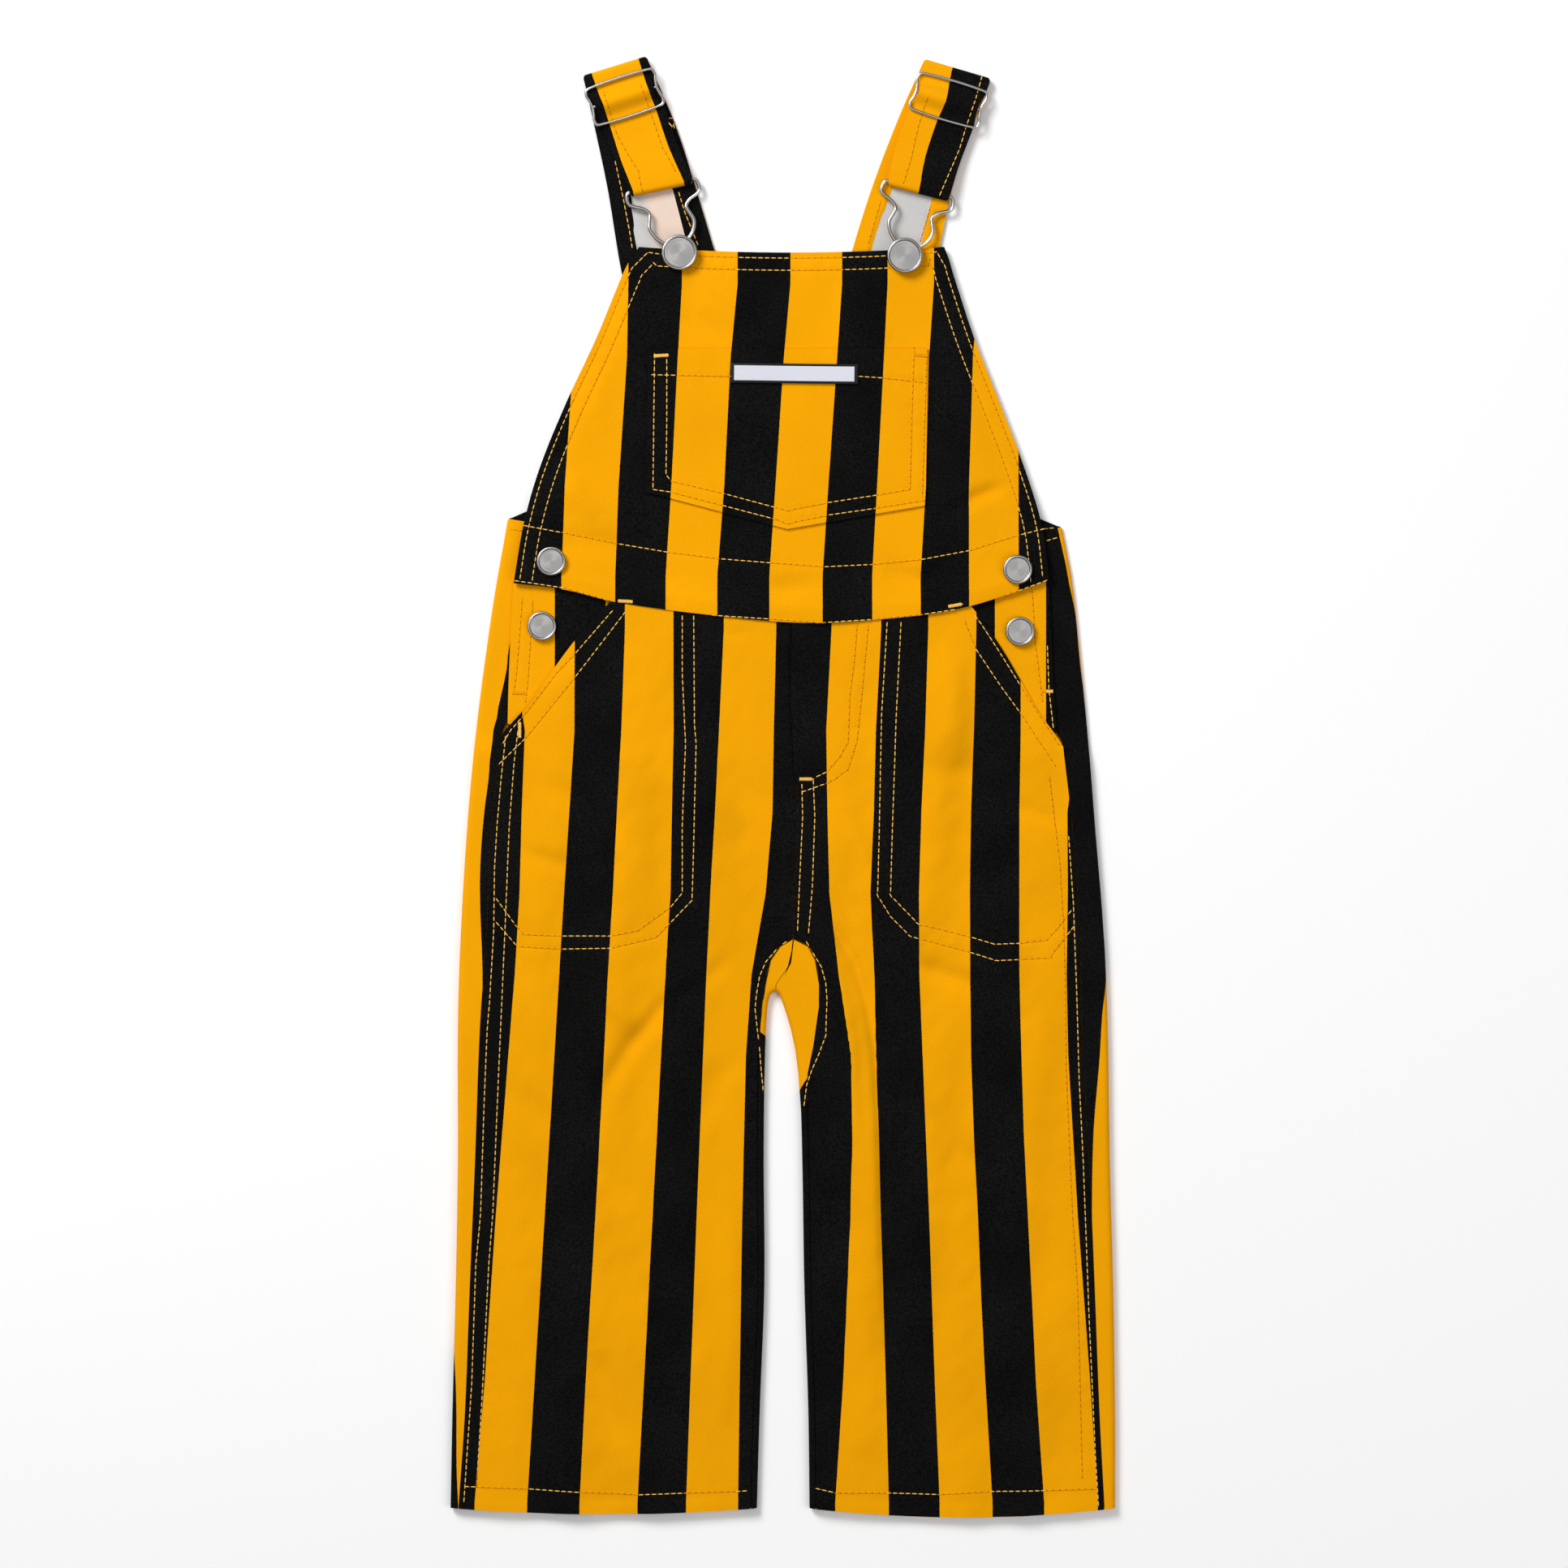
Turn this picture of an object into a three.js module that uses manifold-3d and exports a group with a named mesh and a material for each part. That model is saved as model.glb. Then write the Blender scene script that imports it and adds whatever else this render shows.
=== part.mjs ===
// Kids bib overalls of striped twill, laid flat with the front up.
// Millimetres. +X is the right as seen from above, +Y runs to the straps, +Z is up from the floor.
import * as THREE from "three";
import { mergeVertices } from "three/addons/utils/BufferGeometryUtils.js";
import Module from "manifold-3d";

// Cloth and its layers: each level is the outer face of a layer above the floor.
const CLOTH = 1.1;
const SEAM_GAP = 0.3;
const LAYER = CLOTH + SEAM_GAP;
const WRAP_TOP = 2.7;
const FACING_TOP = WRAP_TOP + LAYER;
const HIP_TOP = FACING_TOP + LAYER;
const WAIST_TOP = HIP_TOP + LAYER;
const LEG_TOP = 4.7;
const BIB_TOP = 4.7;
const FOLD_REACH = 2.6;
const TUCK = 5;
const ARCH_SHIFT = 0.5;
const SEAM_IN = FOLD_REACH + 0.4;

// The garment, from which the tables below are measured out.
const HEM_Y = -346.5;
const HEM_SAG = { left: 3, right: 4.5, from: -300 };
const STRAP_ROOT_Y = 200;
const CROTCH = { x: 5, y: -73.5 };
const HIP_END = { left: 24, right: 18 };

// Folds down the outside of the hips and legs.
const OUTER_FOLDS = [
  { y: 128, left: -131.5, right: 133 },
  { y: 97, left: -137.5, right: 139 },
  { y: 60, left: -143, right: 143 },
  { y: 24, left: -147.5, right: 146.5 },
  { y: -20, left: -151.5, right: 150 },
  { y: -73.5, left: -154.7, right: 154.3 },
  { y: -117, left: -156, right: 156 },
  { y: -180, left: -156, right: 157 },
  { y: -240, left: -157, right: 158.6 },
  { y: -300, left: -158.6, right: 159.5 },
  { y: -347, left: -159.5, right: 159.5 },
];

// Side edges of the back panels: tucked under the facings, then the side seams.
const SIDE_SEAMS = [
  { y: 97, left: -128, right: 128 },
  { y: 60, left: -131, right: 131 },
  { y: 24, left: -135, right: 134 },
  { y: -20, left: -140, right: 139 },
  { y: -73.5, left: -142.3, right: 142.8 },
  { y: -117, left: -145.2, right: 143.5 },
  { y: -180, left: -147.5, right: 147 },
  { y: -240, left: -150, right: 149.5 },
  { y: -300, left: -152.3, right: 151.8 },
  { y: -347, left: -155.5, right: 154.3 },
];

// Folds between the legs.
const INNER_FOLDS = [
  { y: -117, left: -8.2, right: 3.9 },
  { y: -145, left: -9.1, right: 8 },
  { y: -180, left: -9.2, right: 9.3 },
  { y: -240, left: -8.8, right: 10.3 },
  { y: -300, left: -11, right: 12.2 },
  { y: -347, left: -12.4, right: 12.8 },
];

// Slanted pocket mouths, from the waist down to the side seams.
const POCKET_MOUTHS = [
  { y: 93, left: -76, right: 85 },
  { y: 88, left: -80, right: 88.3 },
  { y: 65, left: -99.5, right: 103.5 },
  { y: 37, left: -123.5, right: 121.5 },
  { y: 24, left: -135, right: 131 },
  { y: 18, left: -135.7, right: 134.8 },
];

// The crotch, where the back panels come forward: inseam on the front, and the fold below it.
const CROTCH_LEFT = [
  { side: -76, foldX: -2.2, foldY: -95, turn: -90, endX: 0.5, endY: -84, layer: -1 },
  { side: -81, foldX: -3.45, foldY: -99, turn: -90, endX: -3.45, endY: -99, layer: -0.9 },
  { side: -84, foldX: -3.45, foldY: -99, turn: -90, endX: -3.45, endY: -99, layer: 0 },
  { side: -87, foldX: -3.45, foldY: -99, turn: -90, endX: -3.45, endY: -95.5, layer: 1 },
  { side: -90, foldX: -3.9, foldY: -99.2, turn: -75, endX: 3.7, endY: -85, layer: 1 },
  { side: -94, foldX: -4.5, foldY: -99.9, turn: -60, endX: 4.7, endY: -74, layer: 1 },
  { side: -98, foldX: -5.2, foldY: -101.5, turn: -40, endX: -1, endY: -77.3, layer: 1 },
  { side: -103, foldX: -5.9, foldY: -104.5, turn: -22, endX: -5.6, endY: -84, layer: 1 },
  { side: -109, foldX: -6.9, foldY: -109.5, turn: -12, endX: -8.2, endY: -96, layer: 1 },
  { side: -117, foldX: -8.2, foldY: -117, turn: -5, endX: -10.4, endY: -111, layer: 1 },
];
const CROTCH_RIGHT = [
  { side: -76, foldX: -1, foldY: -95, turn: -90, endX: 1, endY: -84, layer: -1 },
  { side: -81, foldX: -3.15, foldY: -99, turn: -90, endX: -3.15, endY: -99, layer: -0.9 },
  { side: -84, foldX: -3.15, foldY: -99, turn: -90, endX: -3.15, endY: -99, layer: 0 },
  { side: -87, foldX: -3.15, foldY: -99, turn: -90, endX: -3.15, endY: -95.5, layer: 1 },
  { side: -90, foldX: -2.5, foldY: -99.3, turn: -105, endX: 4, endY: -85, layer: 1 },
  { side: -94, foldX: -1.6, foldY: -100.3, turn: -125, endX: 5.4, endY: -74, layer: 1 },
  { side: -98, foldX: -0.8, foldY: -102.5, turn: -145, endX: 12, endY: -77.3, layer: 1 },
  { side: -103, foldX: 0.3, foldY: -106, turn: -160, endX: 15.4, endY: -84, layer: 1 },
  { side: -109, foldX: 1.6, foldY: -110.5, turn: -163, endX: 17.3, endY: -95.5, layer: 1 },
  { side: -117, foldX: 3.7, foldY: -117, turn: -166, endX: 17.3, endY: -106, layer: 1 },
  { side: -127, foldX: 6, foldY: -127, turn: -170, endX: 14.6, endY: -125, layer: 1 },
  { side: -138, foldX: 7.4, foldY: -138, turn: -174, endX: 11.9, endY: -138, layer: 1 },
];

// The waist seam and the band above it, seen from the front.
const WAIST_SEAM = [
  { x: -129, y: 97 },
  { x: -105, y: 94 },
  { x: -80, y: 88 },
  { x: -32, y: 81.5 },
  { x: 14, y: 78 },
  { x: 65.5, y: 81.5 },
  { x: 89.5, y: 86 },
  { x: 113.5, y: 93.5 },
  { x: 127.5, y: 98.5 },
];

// The bib and its waistband, cut in one.
const BIB_SECTIONS = [
  { y: 97, left: -129, right: 127.6 },
  { y: 124.5, left: -124.5, right: 124.3 },
  { y: 151.5, left: -117, right: 116.3 },
  { y: 182.5, left: -104.5, right: 104.5 },
  { y: 213.5, left: -90, right: 92.3 },
  { y: 244.5, left: -77, right: 82 },
  { y: 252, left: -73.2, right: 79.8 },
  { y: 258, left: -69, right: 77.5 },
];
const BIB_EDGE = { corner: 258.5, middle: 255.8, halfWidth: 73 };

// The bib pocket: its left and right edges, and its pointed lower edge.
const POCKET = {
  top: 209.5, left: -64.3, right: 69.6, flareLeft: 1.8, flareRight: 1.1,
  lowLeft: 140.5, lowRight: 134.6, pointX: 2, pointY: 123,
};
const LABEL = { x: 5.5, y: 197.5, width: 61, height: 9.4, turn: -0.7, thick: 1 };

// Side openings: facing edge towards the back, and the slanted pocket mouth.
const FACING_LEFT = [
  { edgeX: -129, edgeY: 102, mouthX: -74, mouthY: 95 },
  { edgeX: -130.5, edgeY: 73.5, mouthX: -95.5, mouthY: 61 },
  { edgeX: -131.5, edgeY: 50, mouthX: -117, mouthY: 36.5 },
  { edgeX: -132, edgeY: 30, mouthX: -127, mouthY: 26 },
];
const FACING_RIGHT = [
  { edgeX: 127.3, edgeY: 103, mouthX: 83, mouthY: 93 },
  { edgeX: 128.7, edgeY: 78, mouthX: 97.5, mouthY: 65.5 },
  { edgeX: 129.8, edgeY: 50, mouthX: 113.5, mouthY: 41 },
  { edgeX: 131.5, edgeY: 26, mouthX: 126.5, mouthY: 21 },
];

// The back above its waist seam: it wraps forward at the sides, then narrows to the straps.
const BACK_SECTIONS = [
  { yLeft: 100.15, yRight: 100.15, left: -137, right: 138.7, endLeft: -122, endRight: 122, layer: 1 },
  { yLeft: 110, yRight: 109, left: -135.2, right: 136.9, endLeft: -120, endRight: 121, layer: 1 },
  { yLeft: 119, yRight: 116, left: -133.6, right: 135.6, endLeft: -119, endRight: 120, layer: 1 },
  { yLeft: 126, yRight: 122, left: -132.4, right: 134.4, endLeft: -119, endRight: 120, layer: 1 },
  { yLeft: 127.6, yRight: 123.6, left: -132.1, right: 134.1, endLeft: -129, endRight: 131, layer: 1 },
  { yLeft: 128.2, yRight: 124.2, left: -132, right: 134, endLeft: -129, endRight: 131, layer: 0 },
  { yLeft: 128.8, yRight: 124.8, left: -132, right: 134, endLeft: -129, endRight: 131, layer: -0.9 },
  { yLeft: 134, yRight: 130, left: -129, right: 130, endLeft: -118, endRight: 119, layer: -1 },
  { yLeft: 146, yRight: 143, left: -129, right: 130, endLeft: -104, endRight: 105, layer: -1 },
  { yLeft: 164, yRight: 162, left: -129, right: 130, endLeft: -89, endRight: 89, layer: -1 },
  { yLeft: 182, yRight: 181, left: -129, right: 130, endLeft: -76, endRight: 75, layer: -1 },
  { yLeft: 199.7, yRight: 199.7, left: -129, right: 130, endLeft: -67, endRight: 64, layer: -1 },
];

// Straps: up the back, folded at the top, down over the slide and round the bar of the wire loop.
const STRAP_LEFT = {
  back: [
    { leftX: -66, leftY: STRAP_ROOT_Y, rightX: -17, rightY: STRAP_ROOT_Y },
    { leftX: -77, leftY: 244.5, rightX: -30, rightY: 247 },
    { leftX: -84, leftY: 286, rightX: -41.5, rightY: 286 },
    { leftX: -91, leftY: 319, rightX: -51.5, rightY: 317 },
    { leftX: -95.5, leftY: 338.8, rightX: -64.7, rightY: 348.3 },
  ],
  front: [
    { leftX: -95.5, leftY: 338.8, rightX: -64.7, rightY: 348.3 },
    { leftX: -91, leftY: 325.1, rightX: -60.6, rightY: 335 },
    { leftX: -86.7, leftY: 315.8, rightX: -56.6, rightY: 325.6 },
    { leftX: -80.2, leftY: 300.6, rightX: -50.4, rightY: 307.8 },
    { leftX: -72.6, leftY: 284.9, rightX: -43.3, rightY: 291 },
  ],
  slide: { x: -75.9, y: 330.2, turn: 18 },
  button: { x: -49.5, y: 255.4 },
};
const STRAP_RIGHT = {
  back: [
    { leftX: 19, leftY: STRAP_ROOT_Y, rightX: 62, rightY: STRAP_ROOT_Y },
    { leftX: 30, leftY: 245, rightX: 72.5, rightY: 245 },
    { leftX: 42, leftY: 284.5, rightX: 80.5, rightY: 283 },
    { leftX: 55, leftY: 319, rightX: 92, rightY: 309 },
    { leftX: 67.3, leftY: 346.9, rightX: 99.3, rightY: 337.5 },
  ],
  front: [
    { leftX: 67.3, leftY: 346.9, rightX: 99.3, rightY: 337.5 },
    { leftX: 64.3, leftY: 333.3, rightX: 94.7, rightY: 324.2 },
    { leftX: 60, leftY: 322.8, rightX: 90.4, rightY: 313 },
    { leftX: 53.9, leftY: 305, rightX: 84.4, rightY: 296.9 },
    { leftX: 50.7, leftY: 290.1, rightX: 80, rightY: 282.5 },
  ],
  slide: { x: 79.4, y: 328.6, turn: -16.7 },
  button: { x: 58.5, y: 254 },
};
const STRAP = { foldTop: 4.2, foldReach: 2.1, barTop: 6, returnTop: 2.5, pinch: 1.2 };

// Slide of bent wire: end bars above the strap, centre bar under it.
const SLIDE = { halfWidth: 17.2, halfLength: 9.1, corner: 2.6, waist: 1.2, wire: 0.75, z: 5.4 };

// Half outline of the wire loop, from its bar (v = 0) down to its slot round the button shank.
const LOOP = { wire: 0.9, barZ: 3.7, buttonV: 31, slot: 3.45 };
const LOOP_OUTLINE = [
  { v: 0, u: 8 },
  { v: 0, u: 15.6 },
  { v: 1.5, u: 17.3 },
  { v: 5.6, u: 17.1 },
  { v: 8.6, u: 11.2 },
  { v: 11.2, u: 9 },
  { v: 14, u: 9.7 },
  { v: 18, u: 10.8 },
  { v: 22.5, u: 9 },
  { v: 26.6, u: 5 },
  { v: 30, u: LOOP.slot },
  { v: 32.6, u: 2.9 },
];
const LOOP_END_V = LOOP.buttonV + LOOP.slot;

// Buttons with a rolled rim on a short shank.
const BIB_BUTTON = { radius: 8.5, shank: 2.2, lift: 2.6, head: 2.3 };
const SIDE_BUTTON = { radius: 7, shank: 3, lift: 0.6, head: 2 };
const SIDE_BUTTONS = [
  { name: "side_button_left_upper", x: -111, y: 107.5, on: "bib" },
  { name: "side_button_left_lower", x: -115.5, y: 76.5, on: "facing" },
  { name: "side_button_right_upper", x: 112.5, y: 103.5, on: "bib" },
  { name: "side_button_right_lower", x: 113.7, y: 74, on: "facing" },
];

// Materials.
const twill = new THREE.MeshStandardMaterial({ color: 0xe8a010, roughness: 0.85, metalness: 0 });
const twillDark = new THREE.MeshStandardMaterial({ color: 0x1c1a1a, roughness: 0.85, metalness: 0 });
const wireSteel = new THREE.MeshStandardMaterial({ color: 0xd0d0d0, roughness: 0.25, metalness: 1 });
const buttonMetal = new THREE.MeshStandardMaterial({ color: 0xb4b2ac, roughness: 0.35, metalness: 1 });
const labelCloth = new THREE.MeshStandardMaterial({ color: 0xf2f0ea, roughness: 0.8, metalness: 0 });

const lerp = THREE.MathUtils.lerp;
const ease = THREE.MathUtils.smoothstep;

// A smooth reading of one column of a table whose key column rises or falls steadily.
function read(table, key, at, column) {
  const sign = table[0][key] < table[1][key] ? 1 : -1;
  let i = 0;
  while (i < table.length - 2 && sign * table[i + 1][key] < sign * at) i += 1;
  const slope = (k) => {
    const a = table[Math.max(k - 1, 0)];
    const b = table[Math.min(k + 1, table.length - 1)];
    return (b[column] - a[column]) / (b[key] - a[key]);
  };
  const [a, b] = [table[i], table[i + 1]];
  const span = b[key] - a[key];
  const t = THREE.MathUtils.clamp((at - a[key]) / span, 0, 1);
  const [t2, t3] = [t * t, t * t * t];
  return (2 * t3 - 3 * t2 + 1) * a[column] + (t3 - 2 * t2 + t) * span * slope(i)
    + (3 * t2 - 2 * t3) * b[column] + (t3 - t2) * span * slope(i + 1);
}

// The same reading by row number, for a table whose rows follow a path.
function along(table, t, column) {
  const rows = table.map((row, index) => ({ index, value: row[column] }));
  return read(rows, "index", t * (table.length - 1), "value");
}

const waistY = (x) => read(WAIST_SEAM, "x", x, "y");

// A pair of points, one on each face of the cloth.
const pair = (x, y, outer, inner) => ({
  outer: new THREE.Vector3(x, y, outer),
  inner: new THREE.Vector3(x, y, inner),
});

// A closed wall from rows of such pairs, with rims all round, facing outwards.
function wallGeometry(grid) {
  const rows = grid.length;
  const columns = grid[0].length;
  const positions = [];
  for (const face of ["outer", "inner"]) {
    for (const row of grid) for (const p of row) positions.push(p[face].x, p[face].y, p[face].z);
  }
  const outer = (r, c) => r * columns + c;
  const inner = (r, c) => rows * columns + r * columns + c;
  const index = [];
  const quad = (a, b, c, d) => index.push(a, b, c, a, c, d);
  for (let r = 0; r < rows - 1; r += 1) {
    for (let c = 0; c < columns - 1; c += 1) {
      quad(outer(r, c), outer(r, c + 1), outer(r + 1, c + 1), outer(r + 1, c));
      quad(inner(r, c), inner(r + 1, c), inner(r + 1, c + 1), inner(r, c + 1));
    }
    quad(outer(r, 0), outer(r + 1, 0), inner(r + 1, 0), inner(r, 0));
    const last = columns - 1;
    quad(outer(r + 1, last), outer(r, last), inner(r, last), inner(r + 1, last));
  }
  for (let c = 0; c < columns - 1; c += 1) {
    quad(outer(0, c + 1), outer(0, c), inner(0, c), inner(0, c + 1));
    quad(outer(rows - 1, c), outer(rows - 1, c + 1), inner(rows - 1, c + 1), inner(rows - 1, c));
  }
  if (signedVolume(positions, index) < 0) index.reverse();
  const geometry = new THREE.BufferGeometry();
  geometry.setAttribute("position", new THREE.Float32BufferAttribute(positions, 3));
  geometry.setIndex(index);
  geometry.computeVertexNormals();
  return geometry;
}

// Six times the volume that the triangles enclose, positive when they face outwards.
function signedVolume(positions, index) {
  const point = (i) => new THREE.Vector3().fromArray(positions, 3 * i);
  let sum = 0;
  for (let i = 0; i < index.length; i += 3) {
    sum += point(index[i]).dot(point(index[i + 1]).cross(point(index[i + 2])));
  }
  return sum;
}

// A sheet over a grid of u and v from 0 to 1; place(u, v) gives x, y and the outer height.
function sheetGeometry(columns, rows, place, thick = CLOTH) {
  const grid = rows.map((v) =>
    Array.from({ length: columns + 1 }, (_, c) => {
      const { x, y, z } = place(c / columns, v);
      return pair(x, y, z, z - thick);
    }));
  return wallGeometry(grid);
}

const evenly = (count) => Array.from({ length: count + 1 }, (_, i) => i / count);

// One end of a cloth section that may turn over a fold: points from its edge to the floor layer.
// Layer 1 ends on top, 0 at the fold itself, and -1 on the floor.
const TOP_STEPS = 2;
const ARC_STEPS = 5;
function turnedEnd({ foldX, foldY, turn, endX, endY, layer, rise, leadX }) {
  const count = TOP_STEPS + ARC_STEPS;
  if (layer <= -1) {
    return evenly(count).map((t) => pair(lerp(endX, leadX, t), lerp(endY, foldY, t), 0, CLOTH));
  }
  const angle = THREE.MathUtils.degToRad(turn);
  const [nx, ny] = [Math.cos(angle), Math.sin(angle)];
  const [cx, cy] = [foldX - nx * FOLD_REACH, foldY - ny * FOLD_REACH];
  const onArc = (theta) => {
    const [c, s] = [Math.cos(theta), Math.sin(theta)];
    const [far, near] = [FOLD_REACH * c, (FOLD_REACH - CLOTH) * c];
    return {
      outer: new THREE.Vector3(cx + nx * far, cy + ny * far, rise / 2 + (rise / 2) * s),
      inner: new THREE.Vector3(cx + nx * near, cy + ny * near, rise / 2 + (rise / 2 - CLOTH) * s),
    };
  };
  const quarter = Math.PI / 2;
  if (layer < 1) return evenly(count).map((t) => onArc(lerp(layer * quarter, -quarter, t)));
  const top = Array.from({ length: TOP_STEPS }, (_, i) => {
    const t = i / TOP_STEPS;
    return pair(lerp(endX, cx, t), lerp(endY, cy, t), rise, rise - CLOTH);
  });
  return [...top, ...evenly(ARC_STEPS).map((t) => onArc(lerp(quarter, -quarter, t)))];
}

// A section of the back: one turned end, the floor layer, and the other end.
function backSection(first, last, steps) {
  const start = turnedEnd(first);
  const finish = turnedEnd(last).reverse();
  const from = start[start.length - 1].outer;
  const to = finish[0].outer;
  const onFloor = (t) => pair(lerp(from.x, to.x, t), lerp(from.y, to.y, t), 0, CLOTH);
  const floor = evenly(steps).slice(1, -1).map(onFloor);
  return [...start, ...floor, ...finish];
}

// The hems droop a little between the folds of each leg.
function hemmed(grid, side) {
  const middle = side === "left" ? -85 : 86;
  const halfWidth = 75;
  for (const row of grid) {
    for (const p of row) {
      for (const point of [p.outer, p.inner]) {
        const reach = THREE.MathUtils.clamp((HEM_SAG.from - point.y) / (HEM_SAG.from - HEM_Y), 0, 1);
        const across = THREE.MathUtils.clamp((point.x - middle) / halfWidth, -1, 1);
        point.y -= HEM_SAG[side] * (1 - across * across) * reach;
      }
    }
  }
  return grid;
}

// Back panel of one leg: side seam, outer fold, floor, and round to the inseam or the centre seam.
const HIP_ROWS = [99.85, 84, 66, 48, 36, 29, 23, 16, 6, -16, -40, -60];
const SHIN_ROWS = [-132, -155, -180, -210, -240, -270, -300, -325, HEM_Y];
function backLeg(side) {
  const sign = side === "left" ? -1 : 1;
  const hipEnd = HIP_END[side];
  const outerEnd = (y) => {
    const tucked = ease(y, hipEnd, hipEnd + 12);
    const seam = read(SIDE_SEAMS, "y", y, side) + sign * (SEAM_GAP / 2) * (1 - tucked);
    return {
      foldX: read(OUTER_FOLDS, "y", y, side), foldY: y, turn: side === "left" ? 180 : 0,
      endX: seam - sign * (TUCK - 1.5) * tucked, endY: y, layer: 1,
      rise: lerp(LEG_TOP, WRAP_TOP, ease(y, hipEnd - 10, hipEnd + 3)),
    };
  };
  const section = (y, innerEnd) => backSection(outerEnd(y), innerEnd, 4);
  const hip = HIP_ROWS.map((y) => {
    const x = sign * (SEAM_GAP / 2);
    return section(y, { foldY: y, endX: x, endY: y, leadX: x + sign * 12, layer: -1 });
  });
  const turns = side === "left" ? CROTCH_LEFT : CROTCH_RIGHT;
  const crotch = turns.map((row) =>
    section(row.side, { ...row, rise: LEG_TOP, leadX: row.foldX + sign * 9 }));
  const below = SHIN_ROWS.filter((y) => y < turns[turns.length - 1].side - 8);
  const shin = below.map((y) => {
    const fold = read(INNER_FOLDS, "y", y, side);
    return section(y, {
      foldX: fold, foldY: y, turn: side === "left" ? 0 : 180,
      endX: fold + sign * SEAM_IN, endY: y, layer: 1, rise: LEG_TOP,
    });
  });
  return wallGeometry(hemmed([...hip, ...crotch, ...shin], side));
}

// Inner edge of a front panel, row by row: centre seam, arch round the crotch, then inseam.
const SEAT_ROWS = [90, 80, 66, 50, 37, 24, 17, 8, -8, -28, -50, -66, CROTCH.y];
const CENTRE_SEAM = [{ y: 93, x: 5.5 }, { y: 50, x: 4.6 }, { y: -15, x: 7 }, { y: -57, x: 5.5 }, CROTCH];
function frontInnerEdge(side) {
  const sign = side === "left" ? -1 : 1;
  const turns = side === "left" ? CROTCH_LEFT : CROTCH_RIGHT;
  const seat = SEAT_ROWS.map((y) => ({ y, x: read(CENTRE_SEAM, "y", y, "x") + sign * (SEAM_GAP / 2) }));
  const arch = turns.filter((row) => row.layer === 1 && row.endY < CROTCH.y - 2).slice(2);
  const fold = (y) => read(INNER_FOLDS, "y", y, side);
  const shin = SHIN_ROWS.filter((y) => y < turns[turns.length - 1].side - 8);
  return [
    ...seat,
    ...arch.map((row) => ({ y: row.endY + ARCH_SHIFT, x: row.endX + sign * SEAM_GAP })),
    ...shin.map((y) => ({ y, x: fold(y) + sign * (SEAM_IN + SEAM_GAP) })),
  ];
}

// Edge of a front panel towards the side: pocket mouth, then side seam.
function frontOuterX(side, y) {
  const sign = side === "left" ? -1 : 1;
  if (y >= HIP_END[side]) return read(POCKET_MOUTHS, "y", y, side);
  return read(SIDE_SEAMS, "y", y, side) - sign * (SEAM_GAP / 2);
}

// Front panel of one leg: soft crown between its seams, with a few long shallow waves.
const CROWN = 1.1;
function frontLeg(side) {
  const phase = side === "left" ? 1.3 : 0;
  const crown = (u, y) => {
    const ends = ease(y, HEM_Y, HEM_Y + 40) * (1 - ease(y, 40, 85));
    const wave = 0.65 + 0.35 * Math.sin(y / 31 + 2.2 * u + phase);
    return CROWN * Math.sin(Math.PI * u) * wave * ends;
  };
  const grid = frontInnerEdge(side).map(({ y: level, x: inner }) =>
    evenly(8).map((u) => {
      const x = lerp(frontOuterX(side, level), inner, u);
      const lift = ease(level, 30, SEAT_ROWS[0]);
      const y = level + (waistY(x) + TUCK - SEAT_ROWS[0]) * lift;
      const z = lerp(LEG_TOP, HIP_TOP, ease(level, -8, 17)) + crown(u, level);
      return pair(x, y, z, z - CLOTH);
    }));
  return wallGeometry(hemmed(grid, side));
}

// Hip facing: lies on the wrap of the back, and runs under the pocket mouth and the waistband.
function hipFacing(outline) {
  return sheetGeometry(4, evenly(8), (u, v) => ({
    x: lerp(along(outline, v, "edgeX"), along(outline, v, "mouthX"), u),
    y: lerp(along(outline, v, "edgeY"), along(outline, v, "mouthY"), u),
    z: FACING_TOP,
  }));
}

// Outer height of the bib: highest on the waist seam, lowest along its free edges.
function bibHeight(x, y) {
  const rise = (WAIST_TOP - BIB_TOP) * Math.exp(-Math.max(0, y - waistY(x) - TUCK - 1) / 9);
  const left = read(BIB_SECTIONS, "y", y, "left");
  const right = read(BIB_SECTIONS, "y", y, "right");
  const fromEdge = Math.min(x - left, right - x);
  const sides = (1 - ease(fromEdge, 0, 14)) * ease(y, 128, 150);
  const top = 1 - ease(BIB_EDGE.corner - y, 0, 16);
  const wave = 0.35 * Math.sin(x / 26 + 0.6) * Math.sin((y - 128) / 21) * ease(y, 128, 150);
  return BIB_TOP + rise - 1.3 * Math.max(sides, top) + wave * (1 - Math.max(sides, top));
}

// Height at which a hard piece of this radius rests on the bib, just clear of the cloth.
function seatOnBib(x, y, radius) {
  const round = [[0, 0], [radius, 0], [-radius, 0], [0, radius], [0, -radius]];
  const heights = round.map(([dx, dy]) => bibHeight(x + dx, Math.min(y + dy, BIB_EDGE.corner)));
  return Math.max(...heights) + SEAM_GAP;
}

function bibPanel() {
  const levels = [97, 101, 106, 112, 120, 130, 142, 156, 172, 190, 208, 226, 240, 249, 254, 258];
  const last = levels[levels.length - 1];
  return sheetGeometry(16, levels, (u, level) => {
    const x = lerp(read(BIB_SECTIONS, "y", level, "left"), read(BIB_SECTIONS, "y", level, "right"), u);
    const low = 1 - ease(level, 97, 142);
    const high = ease(level, 208, last);
    const across = (x - 4) / BIB_EDGE.halfWidth;
    const topY = lerp(BIB_EDGE.middle, BIB_EDGE.corner, Math.min(1, across * across));
    const y = level + (waistY(x) - levels[0]) * low + (topY - last) * high;
    return { x, y, z: bibHeight(x, y) };
  });
}

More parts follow.
